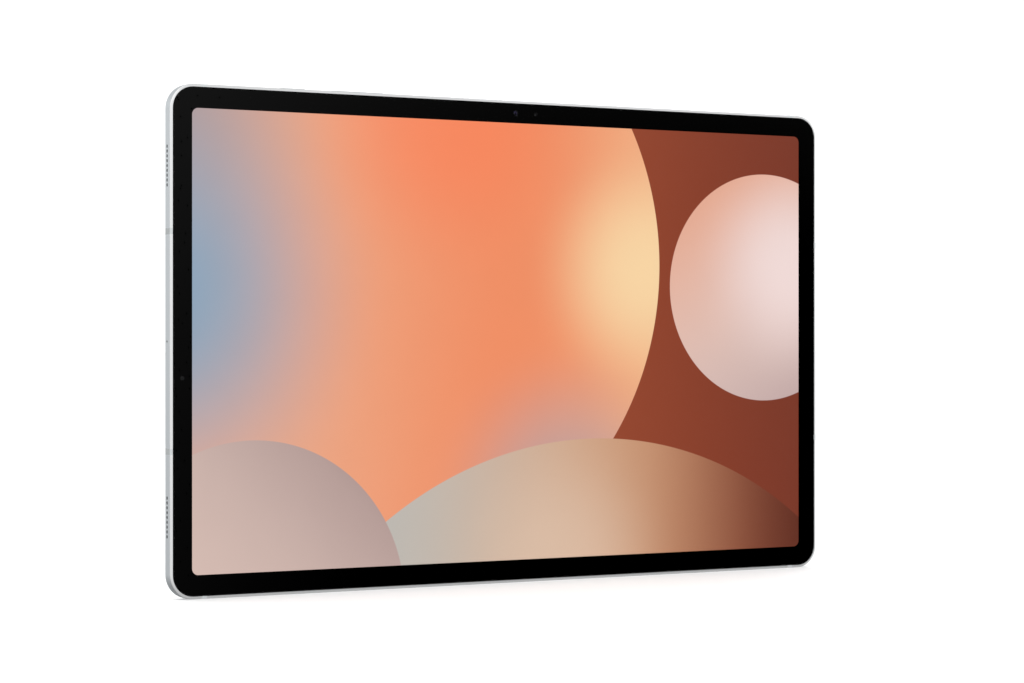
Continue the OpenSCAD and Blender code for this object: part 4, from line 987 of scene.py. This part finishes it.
def far_from(centre):
    """Distance in the picture from a centre, in metres."""
    gap = add_node(
        tree, "ShaderNodeVectorMath", {"operation": "DISTANCE", 1: (centre[0], 0, centre[1])},
        {0: centred.outputs[0]},
    )
    return gap.outputs["Value"]


def glow(under, centre, reach, colour, strength):
    """A soft round patch of colour laid over the picture."""
    share = add_node(
        tree, "ShaderNodeMapRange",
        {
            "interpolation_type": "SMOOTHERSTEP", "From Min": 0.0, "From Max": reach,
            "To Min": strength, "To Max": 0.0,
        },
        {"Value": far_from(centre)},
    )
    mixed = add_node(
        tree, "ShaderNodeMix", {"data_type": "RGBA", 7: hex_colour(colour)}, {0: share.outputs[0], 6: under}
    )
    return mixed.outputs[2]


disc_blend = 0.12 * MM


def disc(under, over, centre, radius):
    """Lays one disc of the picture over what is under it, with a crisp edge."""
    inside = add_node(
        tree, "ShaderNodeMapRange",
        {"From Min": radius + disc_blend, "From Max": radius - disc_blend},
        {"Value": far_from(centre)},
    )
    mixed = add_node(tree, "ShaderNodeMix", {"data_type": "RGBA"}, {0: inside.outputs[0], 6: under, 7: over})
    return mixed.outputs[2]


half_wide = (panel_high.x - panel_low.x) / 2
right = (1, 0, 0)

# The ground: brick red that deepens to the right
picture = shaded(
    right, -half_wide, half_wide,
    [(0.0, "#B2705A"), (0.35, "#A4563C"), (0.7, "#93452E"), (1.0, "#74372A")],
)

# The large disc from the upper left: tan to orange, blue-grey at the screen's left edge, with a
# cream light inside its right edge and a dusky patch below
large = shaded(
    right, -half_wide, 0.066,
    [(0.0, "#E3AC92"), (0.3, "#EDA480"), (0.58, "#F08C62"), (0.8, "#EE8F66"), (1.0, "#F0B58A")],
)
large = glow(large, (-0.16, 0.09), 0.1, "#9E9296", 0.8)
large = glow(large, (-0.15, 0.018), 0.105, "#8BA3B9", 1.0)
large = glow(large, (-0.03, 0.085), 0.075, "#FA7F55", 0.6)
large = glow(large, (0.06, 0.028), 0.06, "#F7D3A3", 1.0)
large = glow(large, (0.022, -0.062), 0.07, "#B7A3A2", 0.85)
picture = disc(picture, large, (-0.052, 0.03), 0.118)

# The pale disc at the right
pale = shaded(
    (0.5, 0, -0.86), -0.03, 0.11,
    [(0.0, "#E0997A"), (0.3, "#E7B49F"), (0.62, "#DCC3BC"), (1.0, "#A98F92")],
)
pale = glow(pale, (0.13, 0.03), 0.055, "#F0DAD7", 0.95)
picture = disc(picture, pale, (0.117, 0.022), 0.046)

# The long low arc along the bottom, grey-green to tan to deep red
low_arc = shaded(
    right, -0.1, 0.136,
    [
        (0.0, "#B3B6B5"), (0.25, "#BFB9B1"), (0.48, "#D2AD92"), (0.68, "#CB9572"), (0.85, "#8C4E3A"),
        (1.0, "#56281F"),
    ],
)
low_arc = glow(low_arc, (0.02, -0.085), 0.06, "#E0C4AE", 0.6)
picture = disc(picture, low_arc, (0.036, -0.196), 0.158)

# The small disc in the lower left corner
small = shaded(
    (0.7, 0, 0.72), -0.17, -0.07,
    [(0.0, "#D8BEB4"), (0.45, "#CBB2AA"), (0.8, "#B59C97"), (1.0, "#A58C88")],
)
picture = disc(picture, small, (-0.11, -0.098), 0.062)

# Only the front face is lit
front = add_node(tree, "ShaderNodeSeparateXYZ", links={0: place.outputs["Object"]})
face = add_node(
    tree, "ShaderNodeMapRange",
    {"From Min": panel_low.y + 0.03 * MM, "From Max": panel_low.y + 0.01 * MM},
    {"Value": front.outputs["Y"]},
)
shown = add_node(
    tree, "ShaderNodeMix", {"data_type": "RGBA", 6: (0, 0, 0, 1)}, {0: face.outputs[0], 7: picture}
)
tree.links.new(shown.outputs[2], shader.inputs["Emission Color"])
paint(lit, "display_panel")


# ---- Cover glass ----
# A sheet of toughened glass over the whole front, bevelled at its edge and glued down all round.
# A black border is printed on its back, with clear windows for the camera and the sensors.
# Dense black ink, seen through the glass, so it has no shine of its own.
ink = grained(
    "printed_black_border", "#050506", "#070708", 0.5 * MM, (0.25, 0.35), Specular_IOR_Level=0.0
)
paint(ink, "black_border")

# Chemically toughened glass with an anti-reflection coat: almost no colour, and a dim clear mirror.
toughened, tree, shader = new_material(
    "toughened_cover_glass", Roughness=0.0, IOR=1.28, Transmission_Weight=1.0
)
smear = add_node(tree, "ShaderNodeTexCoord")
haze = add_node(tree, "ShaderNodeTexNoise", {"Scale": 60.0}, {"Vector": smear.outputs["Object"]})
tint = add_node(
    tree, "ShaderNodeMix", {"data_type": "RGBA", 6: hex_colour("#FAFBFB"), 7: hex_colour("#FDFEFE")},
    {0: haze.outputs["Fac"]},
)
tree.links.new(tint.outputs[2], shader.inputs["Base Color"])
paint(toughened, "cover_glass")

# The front camera's lens sits in the border's round window, and each sensor behind its own.
paint(barrel_black, "front_camera")
# Smoked plastic over each sensor: a shade off black, so that it just shows in the border.
smoked = grained(
    "smoked_sensor_window", "#101012", "#161619", 0.3 * MM, (0.3, 0.4), Specular_IOR_Level=0.2
)
paint(smoked, "light_sensors")
window_low, window_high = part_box("front_camera_window")
window_radius = (window_high.x - window_low.x) / 2
window_centre = ((window_low.x + window_high.x) / 2, (window_low.z + window_high.z) / 2)
lens_radius = 0.8 * MM
holder = turned(
    "front_camera_holder", window_centre,
    [
        (lens_radius, window_high.y), (window_radius, window_high.y), (window_radius, window_low.y),
        (lens_radius + 0.25 * MM, window_low.y), (lens_radius, window_low.y + 0.05 * MM),
    ],
    barrel_black, 48,
)
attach(holder, "chassis")
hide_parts("front_camera_window")
bulge = 6
pupil = turned(
    "front_camera_lens", window_centre,
    [(0.0, window_high.y), (lens_radius, window_high.y)] + [
        (
            lens_radius * math.cos(math.pi / 2 * k / bulge),
            window_high.y - 0.02 * MM - 0.06 * MM * math.sin(math.pi / 2 * k / bulge),
        )
        for k in range(bulge)
    ] + [(0.0, window_high.y - 0.08 * MM)],
    coated, 48,
)
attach(pupil, "chassis")
